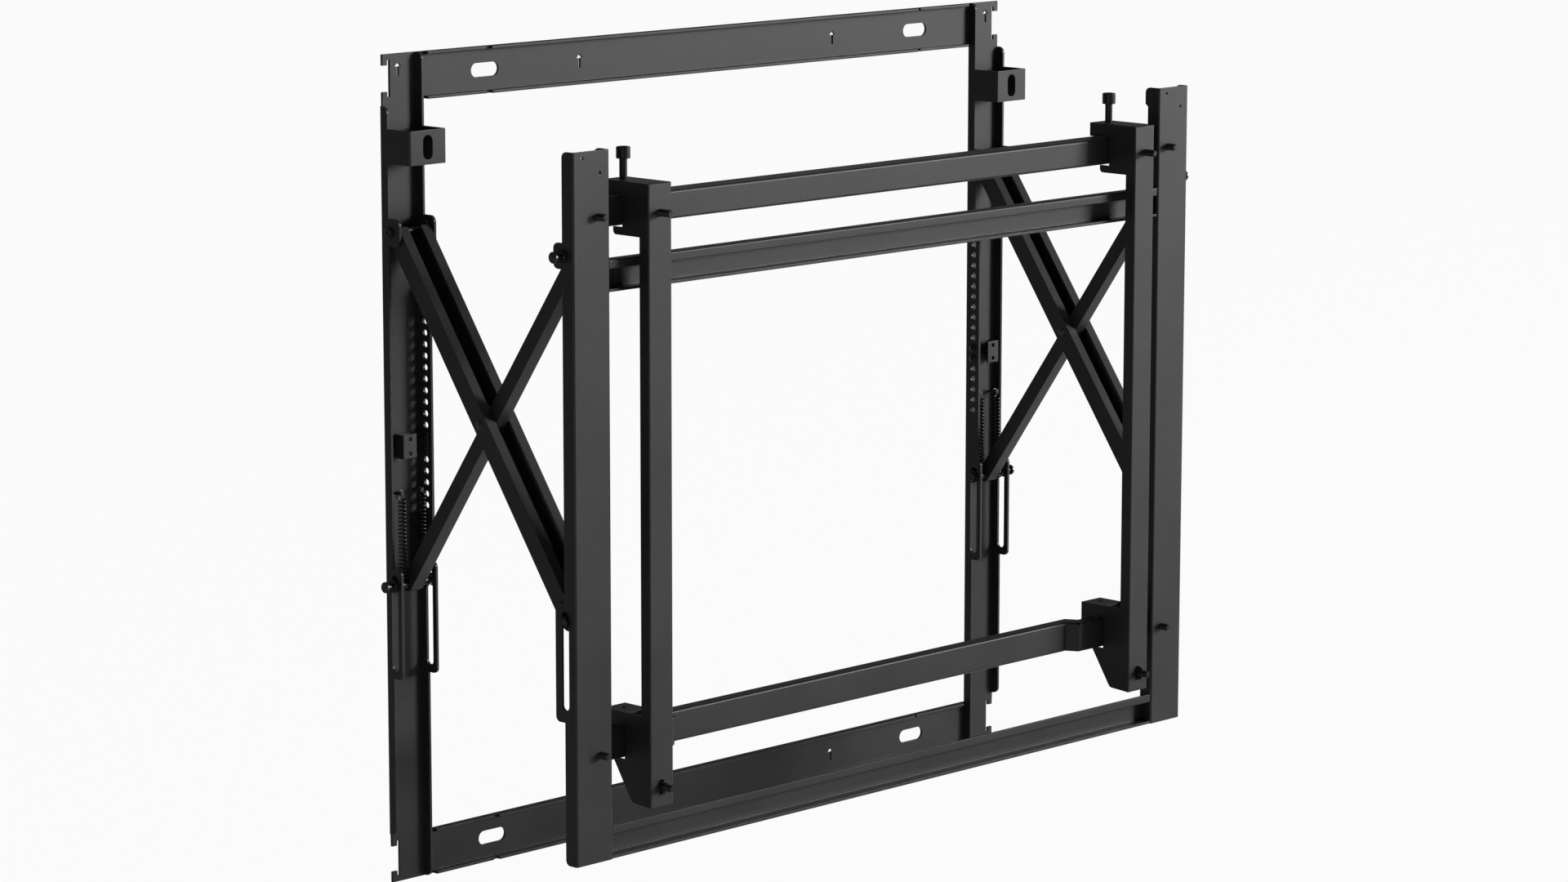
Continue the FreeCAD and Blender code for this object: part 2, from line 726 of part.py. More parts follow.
# Bolts, axles, pins and their nuts and washers
def pivots():
    nodes = {}
    wall = ("wall_axis_y", "pivot_height")
    shank = rod("wall_pivot_shank", "x", "pivot_bolt",
                ("inner_x - pivot_nut", "outer_x + bolt_head / 2"), wall)
    head = hexagon("wall_pivot_head", "bolt_flats", ("outer_x", "outer_x + bolt_head"), wall)
    nodes["wall_pivot_bolt_right"] = joined("wall_pivot_bolt_right", [shank, head])
    nut = hexagon("wall_pivot_nut_blank", "bolt_flats", ("inner_x - pivot_nut", "inner_x"), wall)
    bore = rod("wall_pivot_nut_bore", "x", "pivot_bolt", past("inner_x - pivot_nut", "inner_x"), wall)
    nodes["wall_pivot_nut_right"] = cut("wall_pivot_nut_right", nut, [bore])

    cross = ("cross_y", "cross_z")
    pin = rod("cross_pin_shank", "x", "cross_pin", ("middle_x - arm_half", "middle_x + arm_half"), cross)
    caps = [
        rod("cross_pin_cap_outer", "x", "cross_head",
            ("middle_x + arm_half", "middle_x + arm_half + cross_head_height"), cross),
        rod("cross_pin_cap_inner", "x", "cross_head",
            ("middle_x - arm_half - cross_head_height", "middle_x - arm_half"), cross),
    ]
    nodes["cross_pin_right"] = joined("cross_pin_right", [pin] + caps)

    wall_slide = ("wall_axis_y", "slide_height")
    front_pivot = ("front_axis_y", "pivot_height")
    outer_ring = ("outer", ("outer_x + side_gap", "outer_x + side_gap + washer_height"))
    inner_ring = ("inner", ("inner_x - side_gap - washer_height", "inner_x - side_gap"))
    head_low = "outer_x + axle_out - axle_head_height"
    for name, inside, place in (
        ("wall_slide_axle_right", "inner_x - axle_in", wall_slide),
        ("front_pivot_axle_right", "inner_x", front_pivot),
    ):
        nodes[name] = joined(name, [
            rod(name + "_body", "x", "axle", (inside, "outer_x + side_gap + washer_height"), place),
            rod(name + "_neck", "x", "axle_neck", ("outer_x", f"{head_low} + axle_head_height / 2"), place),
            rod(name + "_head", "x", "axle_head", (head_low, f"{head_low} + axle_head_height"), place),
        ])
    rings = []
    for name, place, side, span in (
        ("wall_slide", wall_slide) + outer_ring,
        ("wall_slide", wall_slide) + inner_ring,
        ("front_pivot", front_pivot) + outer_ring,
    ):
        disc = rod(f"{name}_washer_{side}_disc", "x", "washer", span, place)
        bore = rod(f"{name}_washer_{side}_bore", "x", "axle", past(*span), place)
        rings.append(cut(f"{name}_washer_{side}", disc, [bore]))
    nodes["wall_slide_washers_right"] = group("wall_slide_washers_right", rings[:2])
    nodes["front_pivot_washer_right"] = rings[2]

    slide = ("front_axis_y", "slide_height")
    nodes["front_slide_pin_right"] = joined("front_slide_pin_right", [
        rod("front_slide_body", "x", "axle", ("inner_x - side_gap", "outer_x + side_gap"), slide),
        rod("front_slide_stem", "x", "pivot_bolt", (
            "inner_x - side_gap - slide_nut", "outer_x + side_gap + slide_nut"), slide),
    ])
    nuts = []
    spans = (
        ("outer", ("outer_x + side_gap", "outer_x + side_gap + slide_nut")),
        ("inner", ("inner_x - side_gap - slide_nut", "inner_x - side_gap")),
    )
    for side, span in spans:
        blank = hexagon(f"slide_nut_{side}_blank", "slide_nut_flats", span, slide)
        bore = rod(f"slide_nut_{side}_bore", "x", "pivot_bolt", past(*span), slide)
        nuts.append(cut(f"slide_nut_{side}", blank, [bore]))
    nodes["front_slide_nuts_right"] = group("front_slide_nuts_right", nuts)
    for name in list(nodes):
        left = name.replace("_right", "_left")
        nodes[left] = mirrored(left, nodes[name])
    return nodes


# Tension springs between the web tongues and the wall slide axles
def arc_from(start, tangent, end):
    # the arc that leaves start along tangent and reaches end
    chord = end - start
    across = tangent - chord * (tangent.dot(chord) / chord.dot(chord))
    turn = tangent.getAngle(chord)
    if across.Length < 1e-9:
        return Part.LineSegment(start, end).toShape()
    middle = (start + end) * 0.5 + across.normalize() * (chord.Length / 2 * math.tan(turn / 2))
    return Part.Arc(start, middle, end).toShape()


def biarc(start, first, end, last):
    # two arcs that meet smoothly between two points with given directions
    gap = end - start
    both = first + last
    spread = 2 * (1 - first.dot(last))
    reach = (-gap.dot(both) + math.sqrt(gap.dot(both) ** 2 + spread * gap.dot(gap))) / spread
    joint = (start + first * reach + end - last * reach) * 0.5
    back = arc_from(end, last * -1, joint)
    front = arc_from(start, first, joint)
    return [front, back]


def spring_path(x, hand):
    # points and directions from the upper hook, down the coil, to the lower hook
    wire = value("spring_wire")
    radius = (value("spring_outside") - wire) / 2
    axis_y = value("wall_axis_y")
    half_tongue = value("tongue_width") / 2
    eye = value("upper_eye") / 2
    eye_inside = eye - wire / 2 - value("tongue_gap")
    eye_z = value("tongue_top") - math.sqrt(eye_inside ** 2 - half_tongue ** 2)
    lower_eye = value("axle") / 2 + value("side_gap") + wire / 2
    top = eye_z - eye
    low = value("slide_height") + lower_eye
    quarters = int(value("spring_turns")) * 4 + 3
    marks = []
    for step in range(3, 0, -1):
        turn = math.radians(90 * step)
        marks.append((
            FreeCAD.Vector(x + hand * eye * math.sin(turn), axis_y + radius, eye_z - eye * math.cos(turn)),
            FreeCAD.Vector(-hand * math.cos(turn), 0, -math.sin(turn)),
        ))
    pitch = (top - low) / quarters
    for step in range(quarters + 1):
        turn = math.radians(90 + 90 * step)
        cosine, sine = math.cos(turn), math.sin(turn)
        slope = 0 if step in (0, quarters) else pitch / (radius * math.pi / 2)
        marks.append((
            FreeCAD.Vector(x + hand * radius * cosine, axis_y + radius * sine, top - pitch * step),
            FreeCAD.Vector(-hand * sine, cosine, -slope).normalize(),
        ))
    for step in (1, 2, 3):
        turn = math.radians(90 * step)
        marks.append((
            FreeCAD.Vector(x + hand * radius, axis_y + lower_eye * math.sin(turn),
                           low - lower_eye + lower_eye * math.cos(turn)),
            FreeCAD.Vector(0, math.cos(turn), -math.sin(turn)),
        ))
    return marks


def spring(name, x, hand):
    marks = spring_path(x, hand)
    edges = []
    for (start, first), (end, last) in zip(marks, marks[1:]):
        edges += biarc(start, first, end, last)
    path = Part.Wire(Part.__sortEdges__(edges))
    start, first = marks[0]
    wire = value("spring_wire")
    section = Part.Wire(Part.Circle(start, first, wire / 2).toShape())
    shape = path.makePipeShell([section], True, False)
    points = path.discretize(Distance=wire / 4)
    same_bend = 12
    nearest = min(
        (a - b).Length
        for i, a in enumerate(points)
        for b in points[i + same_bend:]
    )
    print(name, "least gap between turns", round(nearest - wire, 2), "volume over section times length",
          round(shape.Volume / (math.pi * wire * wire / 4 * path.Length), 4))
    thing = doc.addObject("Part::Feature", name)
    thing.Shape = shape
    return thing


def springs():
    nodes = {}
    offset = value("spring_offset")
    centre = value("middle_x")
    for side, sign in (("right", 1), ("left", -1)):
        nodes[f"outer_spring_{side}"] = spring(f"outer_spring_{side}", sign * (centre + offset), sign)
        nodes[f"inner_spring_{side}"] = spring(f"inner_spring_{side}", sign * (centre - offset), -sign)
    return nodes


# Front uprights
def front_upright(side):
    face = "front_y"

    def back(depth):
        return f"{face} + {depth}"

    front = plate(f"front_plate_{side}", "xz", (face, back("sheet")), [
        ("inner_x", "front_low"),
        ("outer_x", "front_low"),
        ("outer_x", "front_top"),
        ("inner_x", "front_top"),
    ])
    lower = [
        (back("front_flange"), "slide_height + slot_width / 2 + lobe_over"),
        (back("lobe_depth"), "slide_height + slot_width / 2 + lobe_over", "front_corner"),
        (back("lobe_depth"), "slide_height - slot_travel - slot_width / 2 - lobe_under", "front_corner"),
        (back("front_flange"), "slide_height - slot_travel - slot_width / 2 - lobe_under"),
        (back("front_flange"), "front_low", "front_corner"),
        (face, "front_low"),
    ]
    lug = [
        (back("front_flange"), "pivot_height + lug_height / 2"),
        (back("lug_depth"), "pivot_height + lug_height / 2", "front_corner"),
        (back("lug_depth"), "pivot_height - lug_height / 2", "front_corner"),
        (back("front_flange"), "pivot_height - lug_height / 2"),
    ]
    outer = plate(f"front_outer_flange_{side}", "yz", ("outer_x - sheet", "outer_x"), [
        (face, "front_top"),
        (back("front_flange"), "front_top", "front_corner"),
    ] + lug + lower)
    inner = plate(f"front_inner_flange_{side}", "yz", ("inner_x", "inner_x + sheet"), [
        (face, "front_top"),
        (back("top_lobe_depth"), "front_top", "front_corner"),
        (back("top_lobe_depth"), "front_top - top_lobe_height"),
        (back("front_flange"), "front_top - top_lobe_height - top_lobe_slope"),
        (back("front_flange"), "bar_top + bar_lug_over"),
        (back("bar_setback + bar_depth"), "bar_top + bar_lug_over", "front_corner"),
        (back("bar_setback + bar_depth"), "bar_low - bar_lug_over", "front_corner"),
        (back("front_flange"), "bar_low - bar_lug_over"),
    ] + lug + lower)
    body = joined(f"front_bent_{side}", [front, outer, inner])
    sides = (value("outer_x"), value("inner_x"))
    body = rounded(f"front_bends_{side}", body, value("bend"), bend_edges(value(face), sides))
    through = past("inner_x", "outer_x")
    holes = [
        rod(f"front_pivot_holes_{side}", "x", "axle", through, ("front_axis_y", "pivot_height")),
        slot(f"front_slots_{side}", "x", "slot_width", "slot_travel + slot_over + slot_width", "z", through,
             ("front_axis_y", "slide_height + (slot_over - slot_travel) / 2")),
    ]
    # the two pilot holes sit the same way round on both uprights
    for across, down in (("small_hole_x", "small_hole_drop"), ("second_hole_x", "second_hole_drop")):
        x = f"inner_x + {across}" if side == "right" else f"outer_x - {across}"
        holes.append(rod(f"{across}_{side}", "y", "small_hole", past(face, back("sheet")),
                         (x, f"front_top - {down}")))
    if side == "right":
        return cut("front_upright_right", body, holes)
    return mirrored("front_upright_left", cut("front_left_unmirrored", body, holes))


def frame_studs():
    studs = []
    for x_name, x in (("right", "frame_stud_x"), ("left", "-frame_stud_x")):
        for z_name, z in (("top", "frame_stud_top"), ("low", "frame_stud_top - frame_stud_rise")):
            studs.append(rod(f"frame_stud_{z_name}_{x_name}", "y", "stud",
                             ("front_y - frame_stud_out", "front_y"), (x, z)))
    return group("frame_studs", studs)


# Front rails, channels that are open to the front
def front_rail_upper():
    # its lip is turned down from the upper flange
    front = "front_y + rail_front_setback"
    rear = f"{front} + front_rail_depth"
    low = "upper_rail_low"
    high = "upper_rail_low + upper_rail_height"
    return plate("front_rail_upper", "yz", ("-inner_x", "inner_x"), [
        (front, low),
        (rear, low),
        (rear, high, "bend"),
        (front, high, "rail_bend"),
        (front, f"{high} - upper_rail_lip"),
        (f"{front} + sheet", f"{high} - upper_rail_lip"),
        (f"{front} + sheet", f"{high} - sheet"),
        (f"{rear} - sheet", f"{high} - sheet"),
        (f"{rear} - sheet", f"{low} + sheet"),
        (front, f"{low} + sheet"),
    ])


def front_rail_lower():
    # its lip stands up from the front of the upper flange
    front = "front_y + rail_front_setback"
    rear = f"{front} + front_rail_depth"
    low = "lower_rail_low"
    high = "lower_rail_low + lower_rail_height"
    shelf = f"{high} - lower_rail_lip"
    return plate("front_rail_lower", "yz", ("-inner_x", "inner_x"), [
        (front, low),
        (rear, low),
        (rear, f"{shelf} + sheet", "bend"),
        (f"{front} + sheet", f"{shelf} + sheet"),
        (f"{front} + sheet", high),
        (front, high),
        (front, shelf, "rail_bend"),
        (f"{rear} - sheet", shelf),
        (f"{rear} - sheet", f"{low} + sheet"),
        (front, f"{low} + sheet"),
    ])


# Hanging bars that carry the display brackets
def hanging_bar_top():
    front = "front_y + bar_setback"
    rear = f"{front} + bar_depth"
    return plate("hanging_bar_top", "yz", ("-inner_x", "inner_x"), [
        (front, "bar_low", "bend"),
        (rear, "bar_low"),
        (rear, "bar_low + sheet"),
        (f"{front} + sheet", "bar_low + sheet"),
        (f"{front} + sheet", "bar_top - sheet"),
        (rear, "bar_top - sheet"),
        (rear, "bar_top"),
        (front, "bar_top", "bend"),
    ])


def hanging_bar_bottom():
    middle = "front_y + low_bar_setback"
    end = "front_y + low_bar_end_setback"
    turn = "joggle_x + joggle_run"
    line = [("inner_x", end), (turn, end), ("joggle_x", middle)]
    line += [(f"-({x})", y) for x, y in reversed(line)]

    def behind(depth, shift):
        points = [("inner_x", f"{end} + {depth}"), (f"{turn} + {shift}", f"{end} + {depth}"),
                  (f"joggle_x + {shift}", f"{middle} + {depth}")]
        points += [(f"-({x})", y) for x, y in reversed(points)]
        return list(reversed(points))

    web = plate("low_bar_web", "xy", ("low_bar_low", "low_bar_top"), line + behind("sheet", "sheet"))
    flat = line + behind("low_bar_depth", "joggle_rear")
    flanges = [
        plate("low_bar_flange_low", "xy", ("low_bar_low", "low_bar_low + sheet"), flat),
        plate("low_bar_flange_high", "xy", ("low_bar_top - sheet", "low_bar_top"), flat),
    ]
    body = joined("low_bar_bent", [web] + flanges)
    reliefs = []
    for side, x in (("right", turn), ("left", f"-({turn}) - relief")):
        reliefs.append(box(f"low_bar_relief_{side}", (x, f"{x} + relief"),
                           (f"{end} - overcut", f"{end} + relief_depth"),
                           ("low_bar_top - sheet", "low_bar_top + overcut")))
    return cut("hanging_bar_bottom", body, reliefs)


# Display brackets
def display_bracket():
    half = "bracket_width / 2"
    front = "bracket_y"
    top = "bracket_top"
    box_rear = "bracket_y + top_box_depth"
    jaw = "front_y + bar_setback - jaw_front_gap"
    lobe = "front_y + bar_setback + top_lobe_reach"
    low_jaw = "front_y + low_bar_end_setback - jaw_front_gap"
    bar_rear = "front_y + low_bar_end_setback + low_bar_depth"
    low_rear = f"{bar_rear} + low_box_depth"
    across = (f"display_x - {half}", f"display_x + {half}")
    plates = [box("bracket_face", across, (front, f"{front} + sheet"), ("bracket_low", top))]
    outline = [
        (front, "bracket_low"),
        (front, top),
        (box_rear, top),
        (box_rear, "bar_top + top_jaw_over"),
        (jaw, "bar_top + top_jaw_over"),
        (jaw, "bar_low - jaw_under"),
        (lobe, "bar_low - jaw_under"),
        (lobe, "bar_low - jaw_under - top_lobe_drop", "top_lobe_corner"),
        ("bracket_rear", "bar_low - jaw_under - top_lobe_drop"),
        ("bracket_rear", "low_box_top"),
        (low_rear, "low_box_top"),
        (low_rear, "low_bar_top - low_finger"),
        (f"{bar_rear} + low_finger_gap", "low_bar_top - low_finger"),
        (f"{bar_rear} + low_finger_gap", "low_bar_top + low_jaw_over"),
        (low_jaw, "low_bar_top + low_jaw_over"),
        (low_jaw, "low_bar_low - jaw_under"),
        (f"{bar_rear} + low_jaw_reach", "low_bar_low - jaw_under"),
        ("front_y + foot_reach", "bracket_low + foot_rise", "front_corner"),
    ]
    for side, x in (("outer", f"display_x + {half} - sheet"), ("inner", f"display_x - {half}")):
        plates.append(plate(f"bracket_side_{side}", "yz", (x, f"{x} + sheet"), outline))
    plates.append(box("bracket_top_plate", across, (front, box_rear), (f"{top} - sheet", top)))
    plates.append(box("bracket_low_plate", across, (f"{low_rear} - low_box_plate", low_rear),
                      ("low_box_top - sheet", "low_box_top")))
    body = joined("bracket_bent", plates)
    face = value(front)
    crown = value(top)
    along = bend_edges(face, (value(across[0]), value(across[1])))

    def on_bend(middle, direction):
        over = near(abs(direction.x), 1) and near(middle.y, face) and near(middle.z, crown)
        return over or along(middle, direction)

    body = rounded("bracket_bends", body, value("bracket_bend"), on_bend)
    holes = [
        rod("bracket_screw_hole", "z", "screw + 2 * running_gap", past(f"{top} - sheet", top),
            ("display_x", "screw_y")),
        rod("bracket_lock_hole", "z", "lock_hole", past("low_box_top - sheet", "low_box_top"),
            ("display_x", f"{low_rear} - lock_hole_in")),
    ]
    right = cut("display_bracket_right", body, holes)
    studs = []
    for name, z in (("top", "display_stud_top"), ("low", "display_stud_top - display_pattern")):
        studs.append(rod(f"display_stud_{name}", "y", "stud", (f"{front} - display_stud_out", front),
                         ("display_x", z)))
    pair = group("display_studs_right", studs)

    head_low = "bar_top + screw_shank"
    shank = rod("screw_shank_rod", "z", "screw", ("bar_top", f"{head_low} + screw_head_height / 2"),
                ("display_x", "screw_y"))
    head = rod("screw_head_rod", "z", "screw_head", (head_low, f"{head_low} + screw_head_height"),
               ("display_x", "screw_y"))
    screw = joined("adjusting_screw_right", [shank, head])

    low_stud = "display_stud_top - display_pattern"
    hub_y = (f"{front} - wing_seat - wing_hub_height", f"{front} - wing_seat")
    hub = rod("wing_hub_rod", "y", "wing_hub", hub_y, ("display_x", low_stud))
    wings = slot("wing_blades", "y", "wing_width", "wing_span", "z", hub_y, ("display_x", low_stud))
    bore = rod("wing_bore", "y", "stud + 2 * running_gap", past(*hub_y), ("display_x", low_stud))
    nut = cut("wing_nut_right", joined("wing_nut_blank", [hub, wings]), [bore])
    nodes = {
        "display_bracket_right": right,
        "display_studs_right": pair,
        "adjusting_screw_right": screw,
        "wing_nut_right": nut,
    }
    for name in list(nodes):
        left = name.replace("_right", "_left")
        nodes[left] = mirrored(left, nodes[name])
    return nodes


def build():
    nodes = {}
    nodes.update(wall_upright())
    nodes["wall_rail_top"] = wall_rail("wall_rail_top", "")
    nodes["wall_rail_bottom"] = wall_rail("wall_rail_bottom", "-")
    nodes.update(catch_bracket())
    nodes.update(stop_tab())
    nodes.update(outer_arm())
    nodes.update(inner_arm())
    nodes.update(pivots())
    nodes.update(springs())
    nodes["front_upright_right"] = front_upright("right")
    nodes["front_upright_left"] = front_upright("left")
    nodes["frame_studs"] = frame_studs()
    nodes["front_rail_upper"] = front_rail_upper()
    nodes["front_rail_lower"] = front_rail_lower()
    nodes["hanging_bar_top"] = hanging_bar_top()
    nodes["hanging_bar_bottom"] = hanging_bar_bottom()
    nodes.update(display_bracket())
    return nodes


def check(nodes):
    doc.recompute()
    for thing in doc.Objects:
        if "Invalid" in thing.State or "Error" in thing.State:
            raise RuntimeError(thing.Name + " failed: " + ", ".join(thing.State))
    for name, thing in nodes.items():
        thing.Label = name
        if thing.Shape.isNull() or not thing.Shape.isValid():
            raise RuntimeError(name + " has no valid shape")
        if not thing.Shape.Solids:
            raise RuntimeError(name + " holds no solid")


def write(nodes):
    os.makedirs("parts", exist_ok=True)
    for name, thing in nodes.items():
        thing.Shape.exportStep(f"parts/{name}.step")
    print(len(nodes), "nodes written")


made = build()
check(made)
write(made)
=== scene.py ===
import json
import math

import bmesh
import bpy
from mathutils import Matrix, Vector

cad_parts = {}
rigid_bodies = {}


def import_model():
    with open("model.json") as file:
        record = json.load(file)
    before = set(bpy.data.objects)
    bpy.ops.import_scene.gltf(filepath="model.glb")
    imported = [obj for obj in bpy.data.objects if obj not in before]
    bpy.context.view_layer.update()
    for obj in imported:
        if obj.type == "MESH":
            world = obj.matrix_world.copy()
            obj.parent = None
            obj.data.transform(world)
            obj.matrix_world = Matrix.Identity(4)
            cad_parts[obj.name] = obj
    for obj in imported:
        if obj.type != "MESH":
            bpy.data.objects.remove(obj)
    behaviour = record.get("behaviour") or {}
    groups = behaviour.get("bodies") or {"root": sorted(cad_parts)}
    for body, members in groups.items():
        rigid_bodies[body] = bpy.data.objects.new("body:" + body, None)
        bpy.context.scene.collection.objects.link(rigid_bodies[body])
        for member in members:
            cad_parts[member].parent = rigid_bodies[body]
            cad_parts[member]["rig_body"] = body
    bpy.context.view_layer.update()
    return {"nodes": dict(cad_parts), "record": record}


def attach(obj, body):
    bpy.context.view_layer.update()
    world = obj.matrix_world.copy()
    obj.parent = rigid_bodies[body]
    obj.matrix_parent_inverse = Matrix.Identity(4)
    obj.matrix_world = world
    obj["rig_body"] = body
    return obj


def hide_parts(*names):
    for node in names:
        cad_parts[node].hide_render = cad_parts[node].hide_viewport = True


# Pop-out wall mount for one video wall display: black powder-coated sheet steel,
# dark fasteners, plated axles and four tension springs.
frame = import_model()
millimetre = 0.001


# ---- places read from the frame, in millimetres
def span(nodeName, axis, above=-math.inf, below=math.inf):
    # lowest and highest reach of a node along x, y or z, over its part between two heights
    corners = [vert.co / millimetre for vert in frame["nodes"][nodeName].data.vertices]
    reach = [corner["xyz".index(axis)] for corner in corners if above < corner.z < below]
    return min(reach), max(reach)


def ends(nodeName, axis):
    return tuple(round(end, 2) for end in span(nodeName, axis))


def middle(nodeName, axis, above=-math.inf, below=math.inf):
    return round(sum(span(nodeName, axis, above, below)) / 2, 2)


def axisAlongX(nodeName):
    return 0, middle(nodeName, "y"), middle(nodeName, "z")


def upperAndLower(nodeName):
    # heights of the upper and the lower of two pieces in one node
    half = middle(nodeName, "z")
    return middle(nodeName, "z", above=half), middle(nodeName, "z", below=half)


# ---- shading helpers
class Wire:  # a socket that can stand in a sum

    def __init__(self, sheet, socket):
        self.sheet = sheet
        self.socket = socket

    def maths(self, operation, first, second):
        return self.sheet.node("ShaderNodeMath", {"operation": operation}, {0: first, 1: second})

    def __add__(self, other):
        return self.maths("ADD", self, other)

    def __sub__(self, other):
        return self.maths("SUBTRACT", self, other)

    def __mul__(self, other):
        return self.maths("MULTIPLY", self, other)

    def __rsub__(self, other):
        return self.maths("SUBTRACT", other, self)

    __radd__ = __add__
    __rmul__ = __mul__


class NodeSheet:  # one material's or world's nodes

    def __init__(self, owner):
        owner.use_nodes = True
        self.tree = owner.node_tree
        self.tree.nodes.clear()

    def node(self, kind, settings=None, values=None, out=0):
        made = self.tree.nodes.new(kind)
        for name, setting in (settings or {}).items():
            setattr(made, name, setting)
        for name, value in (values or {}).items():
            if isinstance(value, Wire):
                self.tree.links.new(value.socket, made.inputs[name])
            else:
                made.inputs[name].default_value = value
        return Wire(self, made.outputs[out]) if made.outputs else None

    def noise(self, place, scale, detail=2.0, roughness=0.5):
        return self.node("ShaderNodeTexNoise", None,
                         {"Vector": place, "Scale": scale, "Detail": detail, "Roughness": roughness})

    def blend(self, share, low, high):
        return self.node("ShaderNodeMix", {"data_type": "RGBA"}, {0: share, 6: low, 7: high}, out=2)

    def between(self, value, low, high):
        return self.node("ShaderNodeMapRange", {"clamp": True},
                         {"Value": value, "From Min": low, "From Max": high})


def grey(level, warm=0.0):
    return (level * (1 + warm), level, level * (1 - warm), 1)


# ---- finishes
powderCoat = {
    "deep": grey(0.020, -0.02),
    "pale": grey(0.030, -0.01),
    # lighter colour for the bevelled edges: edge wear and a painted edge highlight
    "rubbedAndHighlit": grey(0.075),
    "roughness": 0.42,
    "roughnessSpread": 0.10,
    "specular": 0.40,
    "peelScale": 620.0,
    "peelDepth": 0.00007,
    "dustScale": 3200.0,
    "dustShare": 0.35,
    "cloudScale": 16.0,
    "cloudEdges": (0.45, 0.90),
    "bumpStrength": 0.55,
    "wearAndHighlightScale": 85.0,
    "wearAndHighlightShare": 0.55,
    "wearPolish": 0.08,
}

# shared by the three metals
bareMetal = {
    "grainShare": 0.3,
    "cloudEdges": (0.4, 0.9),
    "bumpStrength": 0.4,
    # spots and share of the lighter bevel colour: edge wear and a painted edge highlight
    "wearAndHighlightScale": 260.0,
    "wearAndHighlightShare": 0.7,
    "wearPolish": 0.06,
    "grainRoughness": 0.05,
}

blackOxide = bareMetal | {
    "deep": grey(0.018),
    "pale": grey(0.032, 0.02),
    "rubbedAndHighlit": grey(0.12),
    "metallic": 0.65,
    "roughness": 0.34,
    "roughnessSpread": 0.16,
    "grainScale": 900.0,
    "grainDepth": 0.00003,
    "cloudScale": 120.0,
}

platedSteel = bareMetal | {
    "deep": grey(0.05),
    "pale": grey(0.11, 0.01),
    "rubbedAndHighlit": grey(0.30),
    "metallic": 0.9,
    "roughness": 0.26,
    "roughnessSpread": 0.14,
    "grainScale": 1400.0,
    "grainDepth": 0.00002,
    "cloudScale": 90.0,
}

springSteel = bareMetal | {
    "deep": grey(0.03, 0.03),
    "pale": grey(0.075, 0.02),
    "rubbedAndHighlit": grey(0.20),
    "metallic": 0.85,
    "roughness": 0.32,
    "roughnessSpread": 0.18,
    "grainScale": 1800.0,
    "grainDepth": 0.00002,
    "cloudScale": 200.0,
}


wearAndHighlightSpots = (0.42, 0.70)


def edgeWearAndHighlight(sheet, place, scale):
    # rubbed spots along the bevelled edges only, lighter in colour: partly edge wear, partly a painted edge
    # highlight
    rubAndHighlight = sheet.node("ShaderNodeAttribute", {"attribute_name": "edgeRubAndHighlight"}, None, out=2)
    spots = sheet.noise(place, scale, 3.0, 0.6)
    return rubAndHighlight * sheet.between(spots, *wearAndHighlightSpots)


def powderCoatMaterial(look):
    material = bpy.data.materials.new("black_powder_coat")
    sheet = NodeSheet(material)
    place = sheet.node("ShaderNodeTexCoord", out=3)
    clouds = sheet.noise(place, look["cloudScale"], 4.0, 0.55)
    dust = sheet.noise(place, look["dustScale"], 1.0)
    peel = sheet.noise(place, look["peelScale"], 2.0, 0.55)
    dusty = look["dustShare"] * dust
    wornAndHighlit = edgeWearAndHighlight(sheet, place, look["wearAndHighlightScale"])
    coat = sheet.blend(sheet.between(clouds + dusty, *look["cloudEdges"]), look["deep"], look["pale"])
    # bevelled edges lightened: edge wear and a painted edge highlight
    colour = sheet.blend(wornAndHighlit * look["wearAndHighlightShare"], coat, look["rubbedAndHighlit"])
    spread = look["roughnessSpread"] * (clouds + dust * 0.5 - 0.75)
    roughness = look["roughness"] + spread - look["wearPolish"] * wornAndHighlit
    bump = sheet.node("ShaderNodeBump", None, {
        "Strength": look["bumpStrength"], "Distance": look["peelDepth"], "Height": peel + dusty})
    shader = sheet.node("ShaderNodeBsdfPrincipled", None, {
        "Base Color": colour, "Roughness": roughness, "Specular IOR Level": look["specular"], "Normal": bump})
    sheet.node("ShaderNodeOutputMaterial", None, {"Surface": shader})
    return material


def metalMaterial(name, look):
    material = bpy.data.materials.new(name)
    sheet = NodeSheet(material)
    place = sheet.node("ShaderNodeTexCoord", out=3)
    clouds = sheet.noise(place, look["cloudScale"], 3.0, 0.6)
    grain = sheet.noise(place, look["grainScale"], 2.0, 0.6)
    wornAndHighlit = edgeWearAndHighlight(sheet, place, look["wearAndHighlightScale"])
    mottle = sheet.between(clouds + look["grainShare"] * grain, *look["cloudEdges"])
    tint = sheet.blend(mottle, look["deep"], look["pale"])
    # bevelled edges lightened: edge wear and a painted edge highlight
    colour = sheet.blend(wornAndHighlit * look["wearAndHighlightShare"], tint, look["rubbedAndHighlit"])
    spread = look["roughnessSpread"] * (clouds - 0.5) + look["grainRoughness"] * grain
    roughness = look["roughness"] + spread - look["wearPolish"] * wornAndHighlit
    bump = sheet.node("ShaderNodeBump", None, {
        "Strength": look["bumpStrength"], "Distance": look["grainDepth"], "Height": grain})
    shader = sheet.node("ShaderNodeBsdfPrincipled", None, {
        "Base Color": colour, "Metallic": look["metallic"], "Roughness": roughness, "Normal": bump})
    sheet.node("ShaderNodeOutputMaterial", None, {"Surface": shader})
    return material


finishes = {
    "black_powder_coat": powderCoatMaterial(powderCoat),
    "black_fastener": metalMaterial("black_fastener", blackOxide),
    "bright_steel": metalMaterial("bright_steel", platedSteel),
    "spring_steel": metalMaterial("spring_steel", springSteel),
}
print("finishes made:", len(finishes))

nodeSlots = {entry["node"]: entry["material_slot"] for entry in frame["record"]["subparts"]}
for nodeName, node in frame["nodes"].items():
    node.data.materials.clear()
    node.data.materials.append(finishes[nodeSlots[nodeName]])


